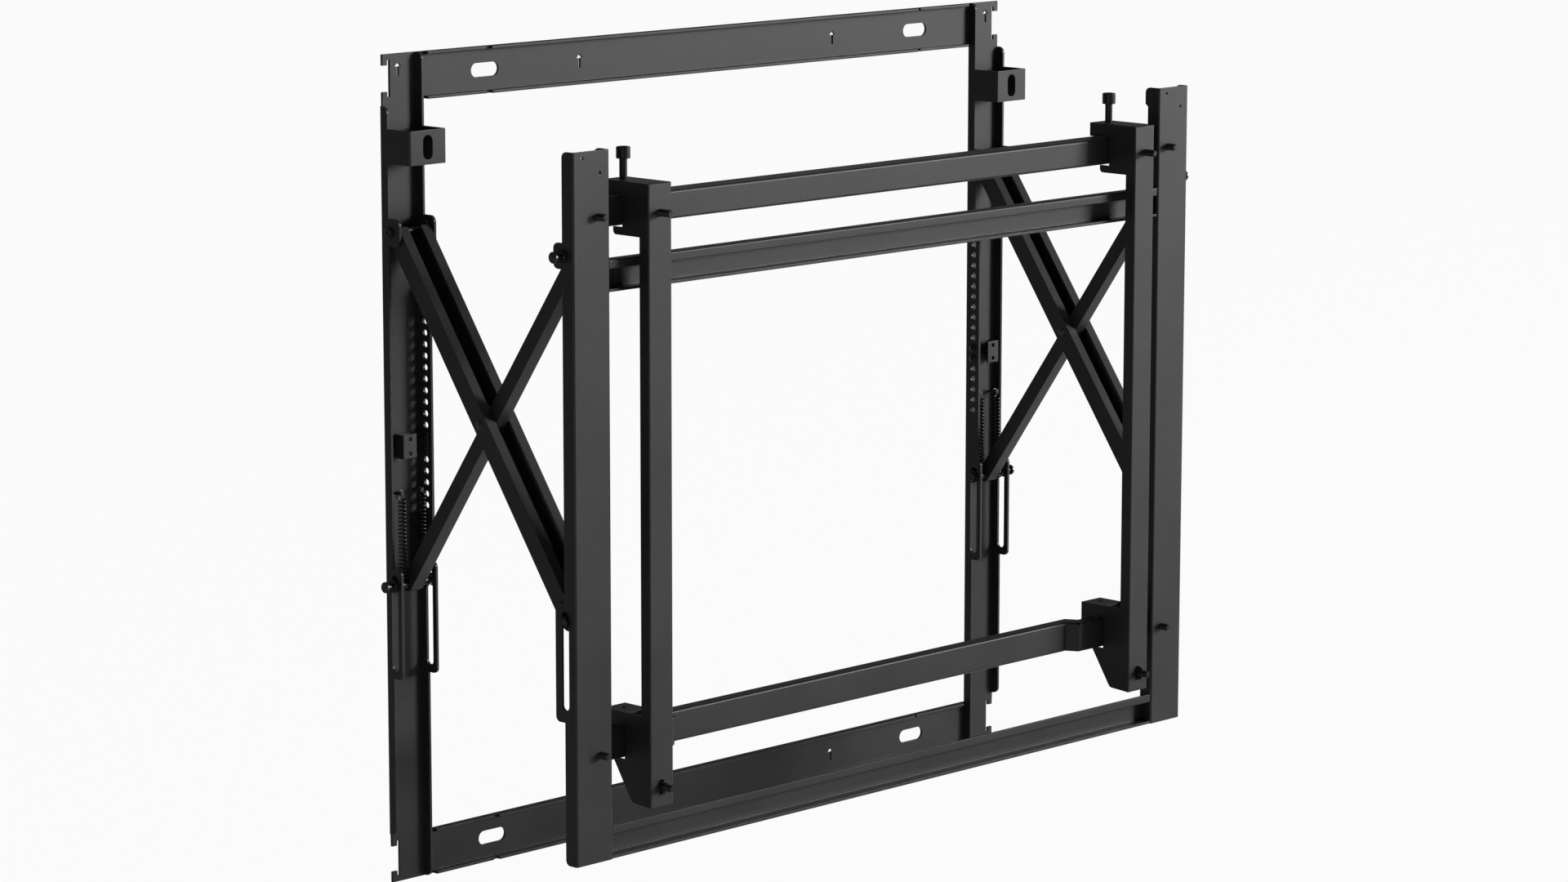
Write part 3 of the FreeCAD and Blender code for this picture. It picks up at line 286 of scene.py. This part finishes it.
# ---- bent sheet: the drawn shape with its edges broken
edgeRules = {
    "weld": 0.000004,
    "flatWithin": math.radians(0.4),
    "bevelFrom": math.radians(34),
    "shadeSharpFrom": math.radians(30),
    "normalWeight": 60,
    "shortestBend": 0.004,
    "frontFacing": -0.3,
    "levelFacing": 0.9,
    "bendSegments": 4,
    "mostLoss": 0.08,
    "boxSlack": 0.00001,
}
bevelTries = (
    # share of the width, shortest edge in metres, clamping
    (1.0, 0.0, False),
    (1.0, 0.0007, False),
    (1.0, 0.0016, False),
    (0.6, 0.0016, False),
    (1.0, 0.0, True),
)


def shown(name, mesh, nodeName):
    # puts a finished mesh on the body of the node it stands for
    piece = bpy.data.objects.new(name, mesh)
    bpy.context.scene.collection.objects.link(piece)
    mesh.materials.clear()
    mesh.materials.append(finishes[nodeSlots[nodeName]])
    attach(piece, frame["nodes"][nodeName]["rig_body"])
    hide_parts(nodeName)
    mesh.shade_smooth()
    mesh.set_sharp_from_angle(angle=edgeRules["shadeSharpFrom"])
    weights = piece.modifiers.new("evenNormals", "WEIGHTED_NORMAL")
    weights.keep_sharp = True
    weights.weight = edgeRules["normalWeight"]
    return piece


def drawnForm(nodeName):
    # a node's mesh, merged and with its flat faces made whole
    form = bmesh.new()
    form.from_mesh(frame["nodes"][nodeName].data)
    bmesh.ops.remove_doubles(form, verts=form.verts, dist=edgeRules["weld"])
    bmesh.ops.dissolve_limit(form, angle_limit=edgeRules["flatWithin"], verts=form.verts, edges=form.edges)
    return form


def sharpEdges(form, least):
    return [edge for edge in form.edges if edge.is_manifold
            and edge.calc_face_angle() > edgeRules["bevelFrom"] and edge.calc_length() > least]


def frontBends(form):
    # outer edges between a front face, set back or slanting too, and the flange above or below it
    def meets(edge):
        turns = sorted((face.normal for face in edge.link_faces), key=lambda normal: normal.y)
        return turns[0].y < edgeRules["frontFacing"] and abs(turns[1].z) > edgeRules["levelFacing"]

    return [edge for edge in form.edges if edge.is_manifold and edge.is_convex
            and edge.calc_length() > edgeRules["shortestBend"] and meets(edge)]


def bevelled(form, edges, width, segments, clamp):
    return bmesh.ops.bevel(form, geom=edges, affect="EDGES", offset=width * millimetre,
                           offset_type="OFFSET", segments=segments, profile=0.5,
                           clamp_overlap=clamp, material=-1)["faces"]


def softened(nodeName, look):
    # widths are tried from the widest down; one that bulges or thins the form is left
    plain = drawnForm(nodeName)
    bulk = plain.calc_volume()
    corners = [Vector(vert.co) for vert in plain.verts]
    low = Vector([min(corner[axis] for corner in corners) for axis in range(3)])
    high = Vector([max(corner[axis] for corner in corners) for axis in range(3)])
    plain.free()
    for place, (share, least, clamp) in enumerate(bevelTries):
        form = drawnForm(nodeName)
        if look.get("bend"):
            bevelled(form, frontBends(form), look["bend"], edgeRules["bendSegments"], False)
        # bevel faces are marked for the lighter edge colour: edge wear and a painted edge highlight
        rubAndHighlight = form.faces.layers.float.new("edgeRubAndHighlight")
        for face in bevelled(form, sharpEdges(form, least), look["width"] * share, look["segments"], clamp):
            face[rubAndHighlight] = 1.0
        kept = abs(form.calc_volume() / bulk - 1) < look.get("mostLoss", edgeRules["mostLoss"])
        slack = edgeRules["boxSlack"]
        inside = all(low[axis] - slack < vert.co[axis] < high[axis] + slack
                     for vert in form.verts for axis in range(3))
        if kept and inside or clamp:
            break
        form.free()
    if place:
        print("bevel", nodeName, "try", place + 1)
    mesh = bpy.data.meshes.new(nodeName + "_form")
    form.to_mesh(mesh)
    form.free()
    return shown(nodeName + "_finished", mesh, nodeName)


sheetEdges = {"width": 0.30, "segments": 2}
barEdges = {"width": 0.30, "segments": 2, "bend": 1.7}
wingEdges = {"width": 0.45, "segments": 3, "mostLoss": 0.3}

sheetNodes = [name for name, slotName in nodeSlots.items() if slotName == "black_powder_coat"]
for name in sheetNodes:
    softened(name, barEdges if name == "hanging_bar_bottom" else sheetEdges)
for side in ("left", "right"):
    softened("wing_nut_" + side, wingEdges)
print("sheet pieces:", len(sheetNodes))


# ---- turned, six-sided, threaded and wound pieces, drawn in millimetres
axes = {"x": Vector((1, 0, 0)), "y": Vector((0, 1, 0)), "z": Vector((0, 0, 1))}
asides = {"x": Vector((0, 0, 1)), "y": Vector((0, 0, 1)), "z": Vector((1, 0, 0))}
sides = (("right", 1), ("left", -1))
welds = {"turned": 0.0005, "thread": 0.002, "cut": 0.0001}
hexagonSteps = 36


def turned(form, axis, centre, profile, steps=32, ring=False):
    # spins (radius, place along the axis) points into a closed form
    along, aside = axes[axis], asides[axis]
    verts = [form.verts.new(Vector(centre) + along * place + aside * radius) for radius, place in profile]
    edges = [form.edges.new(pair) for pair in zip(verts, verts[1:])]
    if ring:
        edges.append(form.edges.new((verts[-1], verts[0])))
    before = set(form.verts) - set(verts)
    bmesh.ops.spin(form, geom=verts + edges, cent=centre, axis=along, angle=math.tau, steps=steps,
                   use_merge=True, use_duplicate=False)
    fresh = [vert for vert in form.verts if vert not in before]
    bmesh.ops.remove_doubles(form, verts=fresh, dist=welds["turned"])
    return [vert for vert in form.verts if vert not in before]


def cutAway(form, verts, place, outward):
    # removes what lies beyond a plane and closes the cut
    faces = {face for vert in verts for face in vert.link_faces}
    edges = {edge for face in faces for edge in face.edges}
    made = bmesh.ops.bisect_plane(form, geom=list(verts) + list(edges) + list(faces), dist=welds["cut"],
                                  plane_co=place, plane_no=outward, clear_outer=True)
    rim = [item for item in made["geom_cut"] if isinstance(item, bmesh.types.BMEdge)]
    bmesh.ops.contextual_create(form, geom=rim)
    left = {vert for vert in verts if vert.is_valid}
    return list(left | {vert for edge in rim if edge.is_valid for vert in edge.verts})


def sixSided(form, axis, centre, flats, profile, quarter=0.0, ring=False):
    # a turned blank with six flats cut on it
    verts = turned(form, axis, centre, profile, hexagonSteps, ring)
    for step in range(6):
        turn = Matrix.Rotation(math.radians(60 * step + quarter), 3, axes[axis])
        outward = turn @ asides[axis]
        verts = cutAway(form, verts, Vector(centre) + outward * flats / 2, outward)
    return verts


def threaded(form, axis, centre, root, tip, look):
    # a ridge wound from root to tip, cut square at the root and pointed at the tip
    pitch, major, minor = look["pitch"], look["major"] / 2, look["minor"] / 2
    heading = 1 if tip > root else -1
    along = axes[axis] * heading
    start = Vector(centre) + axes[axis] * root - along * pitch
    turns = math.ceil(abs(tip - root) / pitch) + 1
    crestFrom, crestTo = look["crest"]
    ridge = ((minor, 0.0), (major, crestFrom), (major, crestTo), (minor, 1.0))
    verts = [form.verts.new(start + along * pitch * share + asides[axis] * radius) for radius, share in ridge]
    edges = [form.edges.new(pair) for pair in zip(verts, verts[1:])]
    before = set(form.verts) - set(verts)
    steps = look["steps"]
    bmesh.ops.spin(form, geom=verts + edges, cent=start, axis=along, angle=math.tau * turns,
                   steps=steps * turns, dvec=along * pitch / steps, use_merge=False, use_duplicate=False)
    fresh = [vert for vert in form.verts if vert not in before]
    bmesh.ops.remove_doubles(form, verts=fresh, dist=welds["thread"])
    fresh = [vert for vert in form.verts if vert not in before]
    end = Vector(centre) + axes[axis] * tip
    for vert in fresh:
        left = (end - vert.co).dot(along)
        spoke = vert.co - (end - along * left)
        most = minor - look["point"] + max(left, 0.0)
        if spoke.length > most:
            vert.co = end - along * left + spoke.normalized() * most
    fresh = cutAway(form, fresh, end, along)
    return cutAway(form, fresh, Vector(centre) + axes[axis] * root, -along)


def finished(name, form, mirror=False):
    # millimetres to metres, normals outward, then onto its body
    bmesh.ops.scale(form, verts=form.verts, vec=(millimetre,) * 3)
    if mirror:
        bmesh.ops.scale(form, verts=form.verts, vec=(-1, 1, 1))
    bmesh.ops.recalc_face_normals(form, faces=form.faces)
    mesh = bpy.data.meshes.new(name + "_form")
    form.to_mesh(mesh)
    form.free()
    return shown(name + "_finished", mesh, name)


def disc(radius, low, high, edge):
    # profile of a plain end-to-end rod with broken edges
    return [(0, low), (radius - edge, low), (radius, low + edge),
            (radius, high - edge), (radius - edge, high), (0, high)]


def washerProfile(outside, bore, low, high, edge):
    return [(bore, low + edge), (bore + edge, low), (outside - edge, low), (outside, low + edge),
            (outside, high - edge), (outside - edge, high), (bore + edge, high), (bore, high - edge)]


nut = {"mouth": 0.25, "faceShare": 0.96, "slope": 0.55}


def nutProfile(flats, bore, low, high):
    # corners are cut back by a shallow cone at both faces, and the bore has a small mouth
    corner, face, mouth = flats / math.sqrt(3), flats / 2 * nut["faceShare"], nut["mouth"]
    fall = (corner - face) * nut["slope"]
    return [(bore, low + mouth), (bore + mouth, low), (face, low), (corner, low + fall),
            (corner, high - fall), (face, high), (bore + mouth, high), (bore, high - mouth)]


def pairOf(nodeName, thickness):
    # x spans of the two rings or nuts at the ends of a node, the outer one first
    low, high = ends(nodeName, "x")
    return (high - thickness, high), (low, low + thickness)


wallPivot = {
    "node": "wall_pivot_bolt_right",
    "nutNode": "wall_pivot_nut_right",
    "flats": 7.0,
    "shank": 2.5,
    "shankEdge": 0.4,
    "shankInHead": 0.3,
    "headHeight": 1.6,
    "faceShare": 0.94,
    "headFall": 0.45,
    "dish": 0.15,
    "dishRim": 0.55,
    "dishFloor": 0.45,
}
axle = {
    "body": 3.25,
    "endEdge": 0.5,
    "shoulderEdge": 0.3,
    "neck": 2.3,
    "head": 4.0,
    "discHeight": 2.0,
    "discInnerEdge": 0.25,
    "discOuterEdge": 0.45,
    "markRim": 0.9,
    "markFloor": 0.6,
    "markDepth": 0.3,
}
washer = {"radius": 4.7, "height": 1.6, "edge": 0.2}
frontPivot = axle | {"node": "front_pivot_axle_right", "washerNode": "front_pivot_washer_right"}
wallSlide = axle | {"node": "wall_slide_axle_right", "washerNode": "wall_slide_washers_right"}
frontSlide = {"node": "front_slide_pin_right", "nutNode": "front_slide_nuts_right",
              "body": 3.25, "stem": 2.5, "stemEdge": 0.4, "flats": 8.0, "nutHeight": 1.8}
crossPin = {"node": "cross_pin_right", "shank": 2.5, "cap": 3.2, "height": 0.6}


def boltForm(look):
    # a hexagon bolt with a shallow dish in its head
    form = bmesh.new()
    place = axisAlongX(look["node"])
    start, high = ends(look["node"], "x")
    low = high - look["headHeight"]
    turned(form, "x", place, disc(look["shank"], start, low + look["shankInHead"], look["shankEdge"]))
    corner, face = look["flats"] / math.sqrt(3), look["flats"] / 2 * look["faceShare"]
    sixSided(form, "x", place, look["flats"],
             [(0, low), (corner, low), (corner, high - look["headFall"]), (face, high),
              (face * look["dishRim"], high), (face * look["dishFloor"], high - look["dish"]),
              (0, high - look["dish"])], 30)
    return form


def axleForm(look):
    # a shouldered axle with a grooved neck, a disc and a centre mark in its end
    radius, neck, head = look["body"], look["neck"], look["head"]
    endEdge, step = look["endEdge"], look["shoulderEdge"]
    inner, outer = look["discInnerEdge"], look["discOuterEdge"]
    start, high = ends(look["node"], "x")
    low = high - look["discHeight"]
    floor = high - look["markDepth"]
    shoulder = ends(look["washerNode"], "x")[1]
    form = bmesh.new()
    turned(form, "x", axisAlongX(look["node"]), [
        (0, start), (radius - endEdge, start), (radius, start + endEdge), (radius, shoulder - step),
        (radius - step, shoulder), (neck, shoulder), (neck, low), (head - inner, low), (head, low + inner),
        (head, high - outer), (head - outer, high), (look["markRim"], high), (look["markFloor"], floor),
        (0, floor)], 40)
    return form


def ringsForm(look, spans):
    form = bmesh.new()
    for low, high in spans:
        profile = washerProfile(washer["radius"], look["body"], low, high, washer["edge"])
        turned(form, "x", axisAlongX(look["node"]), profile, 40, True)
    return form


def nutsForm(look, spans, bore, quarter):
    form = bmesh.new()
    for low, high in spans:
        sixSided(form, "x", axisAlongX(look["node"]), look["flats"],
                 nutProfile(look["flats"], bore, low, high), quarter, True)
    return form


def slidePinForm(look):
    # a thick pin with a thinner stem under each nut
    radius, stem, edge = look["body"], look["stem"], look["stemEdge"]
    outer, inner = pairOf(look["nutNode"], look["nutHeight"])
    form = bmesh.new()
    turned(form, "x", axisAlongX(look["node"]), [
        (0, inner[0]), (stem - edge, inner[0]), (stem, inner[0] + edge), (stem, inner[1]),
        (radius, inner[1]), (radius, outer[0]), (stem, outer[0]), (stem, outer[1] - edge),
        (stem - edge, outer[1]), (0, outer[1])])
    return form


def crossPinForm(look):
    # a rivet with a low domed cap at both ends
    cap, rise = look["cap"], look["height"]
    low, high = ends(look["node"], "x")
    low, high = low + rise, high - rise
    form = bmesh.new()
    # share of the cap's radius and of its height, from the rim to the crown
    dome = ((1.0, 0.2), (0.9, 0.6), (0.6, 0.92), (0.0, 1.0))
    lower = [(cap * across, low - rise * up) for across, up in reversed(dome)]
    upper = [(cap * across, high + rise * up) for across, up in dome]
    shank = [(cap, low), (look["shank"], low), (look["shank"], high), (cap, high)]
    turned(form, "x", axisAlongX(look["node"]), lower + shank + upper)
    return form


for side, sign in sides:
    flip = sign < 0
    finished("wall_pivot_bolt_" + side, boltForm(wallPivot), flip)
    finished("wall_pivot_nut_" + side,
             nutsForm(wallPivot, [ends(wallPivot["nutNode"], "x")], wallPivot["shank"], 30), flip)
    finished("front_pivot_axle_" + side, axleForm(frontPivot), flip)
    finished("wall_slide_axle_" + side, axleForm(wallSlide), flip)
    finished("front_pivot_washer_" + side, ringsForm(frontPivot, [ends(frontPivot["washerNode"], "x")]), flip)
    finished("wall_slide_washers_" + side,
             ringsForm(wallSlide, pairOf(wallSlide["washerNode"], washer["height"])), flip)
    finished("front_slide_pin_" + side, slidePinForm(frontSlide), flip)
    slideNuts = pairOf(frontSlide["nutNode"], frontSlide["nutHeight"])
    finished("front_slide_nuts_" + side, nutsForm(frontSlide, slideNuts, frontSlide["stem"], 0), flip)
    finished("cross_pin_" + side, crossPinForm(crossPin), flip)
print("pivots made")


# ---- studs and screws
stud = {"major": 5.4, "minor": 4.5, "pitch": 1.0, "crest": (0.40, 0.55), "point": 0.5, "steps": 20}
tabScrews = {"node": "tab_screws_right", "headHeight": 1.5, "radius": 3.5, "shank": 2.2}
adjuster = {
    "node": "adjusting_screw_right",
    "shank": 2.75,
    "endEdge": 0.5,
    "neckFillet": 0.4,
    "head": 5.0,
    "headHeight": 8.1,
    "underEdge": 0.25,
    "topEdge": ((0.0, 0.7), (0.2, 0.25), (0.7, 0.0)),
    "socket": 2.9,
    "socketMouth": 0.45,
    "mouthDepth": 0.25,
    "depth": 3.6,
}


def adjusterForm(look):
    # a cap screw: smooth shank, cylindrical head and a six-sided socket
    shank, head = look["shank"], look["head"]
    endEdge, fillet, underEdge = look["endEdge"], look["neckFillet"], look["underEdge"]
    start, top = ends(look["node"], "z")
    under = top - look["headHeight"]
    x, y = middle(look["node"], "x"), middle(look["node"], "y")
    crown = [(head - inward, top - down) for inward, down in look["topEdge"]]
    form = bmesh.new()
    turned(form, "z", (x, y, 0), [
        (0, start), (shank - endEdge, start), (shank, start + endEdge), (shank, under - fillet),
        (shank + fillet, under), (head - underEdge, under), (head, under + underEdge), *crown,
        (look["socket"] + look["socketMouth"], top)], hexagonSteps)
    mouth = [edge for edge in form.edges if edge.is_boundary]
    place = Matrix.Translation((x, y, top - look["mouthDepth"]))
    socket = bmesh.ops.create_circle(form, segments=6, radius=look["socket"], matrix=place)["verts"]
    corners = list({edge for vert in socket for edge in vert.link_edges})
    bmesh.ops.subdivide_edges(form, edges=corners, cuts=hexagonSteps // 6 - 1)
    lip = [edge for edge in form.edges if edge.is_wire]
    bmesh.ops.bridge_loops(form, edges=mouth + lip)
    low = bmesh.ops.extrude_edge_only(form, edges=lip)["geom"]
    floor = [item for item in low if isinstance(item, bmesh.types.BMVert)]
    bmesh.ops.translate(form, verts=floor, vec=(0, 0, -look["depth"]))
    bmesh.ops.contextual_create(form, geom=[item for item in low if isinstance(item, bmesh.types.BMEdge)])
    return form


def studsForm(nodeName, xs):
    tip, root = ends(nodeName, "y")
    form = bmesh.new()
    for x in xs:
        for z in upperAndLower(nodeName):
            threaded(form, "y", (x, 0, z), root, tip, stud)
    return form


def tabScrewsForm(look):
    # domed screws with a round recess, their heads towards the middle
    radius, shank = look["radius"], look["shank"]
    low, tip = ends(look["node"], "x")
    high = low + look["headHeight"]
    form = bmesh.new()
    for z in upperAndLower(look["node"]):
        turned(form, "x", (0, middle(look["node"], "y"), z), [
            (0, low + 0.55), (0.9, low + 0.5), (1.15, low), (radius * 0.62, low + 0.12),
            (radius * 0.88, low + 0.6), (radius, high - 0.2), (radius - 0.1, high), (shank, high),
            (shank, tip - 0.5), (shank - 0.5, tip), (0, tip)])
    return form


frameStudX = round(ends("frame_studs", "x")[1] - stud["major"] / 2, 2)
finished("frame_studs", studsForm("frame_studs", [frameStudX, -frameStudX]))
for side, sign in sides:
    flip = sign < 0
    finished("display_studs_" + side,
             studsForm("display_studs_right", [middle("display_studs_right", "x")]), flip)
    finished("tab_screws_" + side, tabScrewsForm(tabScrews), flip)
    finished("adjusting_screw_" + side, adjusterForm(adjuster), flip)
print("studs and screws made")


# ---- tension springs
spring = {"wire": 0.605, "wireSegments": 12, "coil": 2.4, "eye": 3.0, "lowerEye": 4.15,
          "quarters": 83, "stepsPerQuarter": 8}


def springForm(look, nodeName, hand):
    # one wire: upper hook, coil, lower hook round the slide axle
    form = bmesh.new()
    steps = look["stepsPerQuarter"]
    x, y = middle(nodeName, "x"), middle(nodeName, "y")
    seat = y + look["coil"]
    eyeHeight = ends(nodeName, "z")[1] - look["wire"] - look["eye"]
    axleHeight = middle(wallSlide["node"], "z")
    low = axleHeight + look["lowerEye"]
    start = Matrix.Translation((x - look["eye"] * hand, seat, eyeHeight))
    section = bmesh.ops.create_circle(form, segments=look["wireSegments"], radius=look["wire"], matrix=start)
    wire = section["verts"] + list({edge for vert in section["verts"] for edge in vert.link_edges})
    top = eyeHeight - look["eye"]
    drop = (low - top) / (look["quarters"] * steps)
    windings = (
        ((x, seat, eyeHeight), (0, hand, 0), 3, 0.0),
        ((x, y, top), (0, 0, hand), look["quarters"], drop),
        ((x + look["coil"] * hand, y, axleHeight), (-1, 0, 0), 3, 0.0),
    )
    for centre, axis, quarters, fall in windings:
        wire = bmesh.ops.spin(form, geom=wire, cent=centre, axis=axis, angle=math.pi / 2 * quarters,
                              steps=steps * quarters, dvec=(0, 0, fall), use_merge=False,
                              use_duplicate=False)["geom_last"]
    bmesh.ops.holes_fill(form, edges=[edge for edge in form.edges if edge.is_boundary], sides=0)
    return form


for side, sign in sides:
    finished("outer_spring_" + side, springForm(spring, "outer_spring_" + side, sign))
    finished("inner_spring_" + side, springForm(spring, "inner_spring_" + side, -sign))
print("springs made")


# ---- camera at the photograph's angle
lens = {"place": (-2.5534, -2.5690, 0.6125), "yaw": -45.73, "pitch": 9.84, "roll": 0.05,
        "length": 112.24, "sensor": 36, "near": 0.05, "far": 60}


def placeCamera(look):
    data = bpy.data.cameras.new("photoCamera")
    data.sensor_width = look["sensor"]
    data.lens = look["length"]
    data.clip_start = look["near"]
    data.clip_end = look["far"]
    camera = bpy.data.objects.new("photoCamera", data)
    bpy.context.scene.collection.objects.link(camera)
    turn = (Matrix.Rotation(math.radians(look["yaw"]), 4, "Z")
            @ Matrix.Rotation(math.radians(90 - look["pitch"]), 4, "X")
            @ Matrix.Rotation(math.radians(look["roll"]), 4, "Z"))
    camera.matrix_world = Matrix.Translation(look["place"]) @ turn
    bpy.context.scene.camera = camera


placeCamera(lens)


# ---- studio
studio = {
    "floorHeight": -0.62,
    "floorSize": 60.0,
    "floorColour": (0.86, 0.86, 0.86, 1),
    "floorGlow": 0.95,
    "ambient": 0.08,
    "backdropWay": (-0.70, -0.70, 0.10),
    "backdropEdges": (0.35, 0.75),
    "backdropTop": (-0.12, 0.0),
    "lamps": [
        # name, place, target, width, height, power
        ("keyBox", (7.6, -6.6, 2.3), (0.0, -0.1, 0.0), 2.8, 3.0, 790.0),
        ("topBox", (0.9, -0.7, 3.0), (0.0, -0.1, 0.0), 1.2, 0.8, 5.0),
        ("lowFill", (-2.4, -1.6, -0.2), (0.0, -0.1, 0.0), 1.2, 0.8, 4.0),
    ],
}


def addLamp(name, place, target, width, height, power):
    data = bpy.data.lights.new(name, "AREA")
    data.shape = "RECTANGLE"
    data.size = width
    data.size_y = height
    data.energy = power
    lamp = bpy.data.objects.new(name, data)
    bpy.context.scene.collection.objects.link(lamp)
    lamp.location = place
    lamp.rotation_mode = "QUATERNION"
    lamp.rotation_quaternion = (Vector(target) - Vector(place)).to_track_quat("-Z", "Y")


def backdropSeen(sheet, look, height=1.0):
    # by camera and transmission rays, and by mirrored rays that run the camera's way:
    # the white backdrop lies behind the object, the room above and before it is dim
    rays = {name: sheet.node("ShaderNodeLightPath", out="Is " + name + " Ray")
            for name in ("Camera", "Glossy", "Transmission")}
    back = sheet.node("ShaderNodeNewGeometry", out="Incoming")
    along = sheet.node("ShaderNodeVectorMath", {"operation": "DOT_PRODUCT"},
                       {0: back, 1: look["backdropWay"]}, out="Value")
    mirrored = rays["Glossy"] * sheet.between(along, *look["backdropEdges"]) * height
    return rays["Camera"] + rays["Transmission"] + mirrored


def buildStudio(look):
    form = bmesh.new()
    bmesh.ops.create_grid(form, x_segments=1, y_segments=1, size=look["floorSize"] / 2)
    bmesh.ops.translate(form, verts=form.verts, vec=(0, 0, look["floorHeight"]))
    mesh = bpy.data.meshes.new("floor")
    form.to_mesh(mesh)
    form.free()
    floor = bpy.data.objects.new("floor", mesh)
    bpy.context.scene.collection.objects.link(floor)
    material = bpy.data.materials.new("pale_floor")
    sheet = NodeSheet(material)
    painted = sheet.node("ShaderNodeBsdfDiffuse", None, {"Color": look["floorColour"]})
    glow = sheet.node("ShaderNodeEmission", None, {"Color": (1, 1, 1, 1), "Strength": 1.0})
    mixed = sheet.node("ShaderNodeMixShader", None,
                       {0: backdropSeen(sheet, look) * look["floorGlow"], 1: painted, 2: glow})
    sheet.node("ShaderNodeOutputMaterial", None, {"Surface": mixed})
    mesh.materials.append(material)

    world = bpy.data.worlds.new("studioWorld")
    bpy.context.scene.world = world
    sheet = NodeSheet(world)
    around = sheet.node("ShaderNodeBackground", None, {"Color": (1, 1, 1, 1), "Strength": look["ambient"]})
    white = sheet.node("ShaderNodeBackground", None, {"Color": (1, 1, 1, 1), "Strength": 1.0})
    back = sheet.node("ShaderNodeNewGeometry", out="Incoming")
    fall = sheet.node("ShaderNodeSeparateXYZ", None, {0: back}, out="Z")
    seen = backdropSeen(sheet, look, sheet.between(fall, *look["backdropTop"]))
    mixed = sheet.node("ShaderNodeMixShader", None, {0: seen, 1: around, 2: white})
    sheet.node("ShaderNodeOutputWorld", None, {"Surface": mixed})
    for lamp in look["lamps"]:
        addLamp(*lamp)


buildStudio(studio)
bpy.context.scene.view_settings.view_transform = "Standard"
print("studio made")
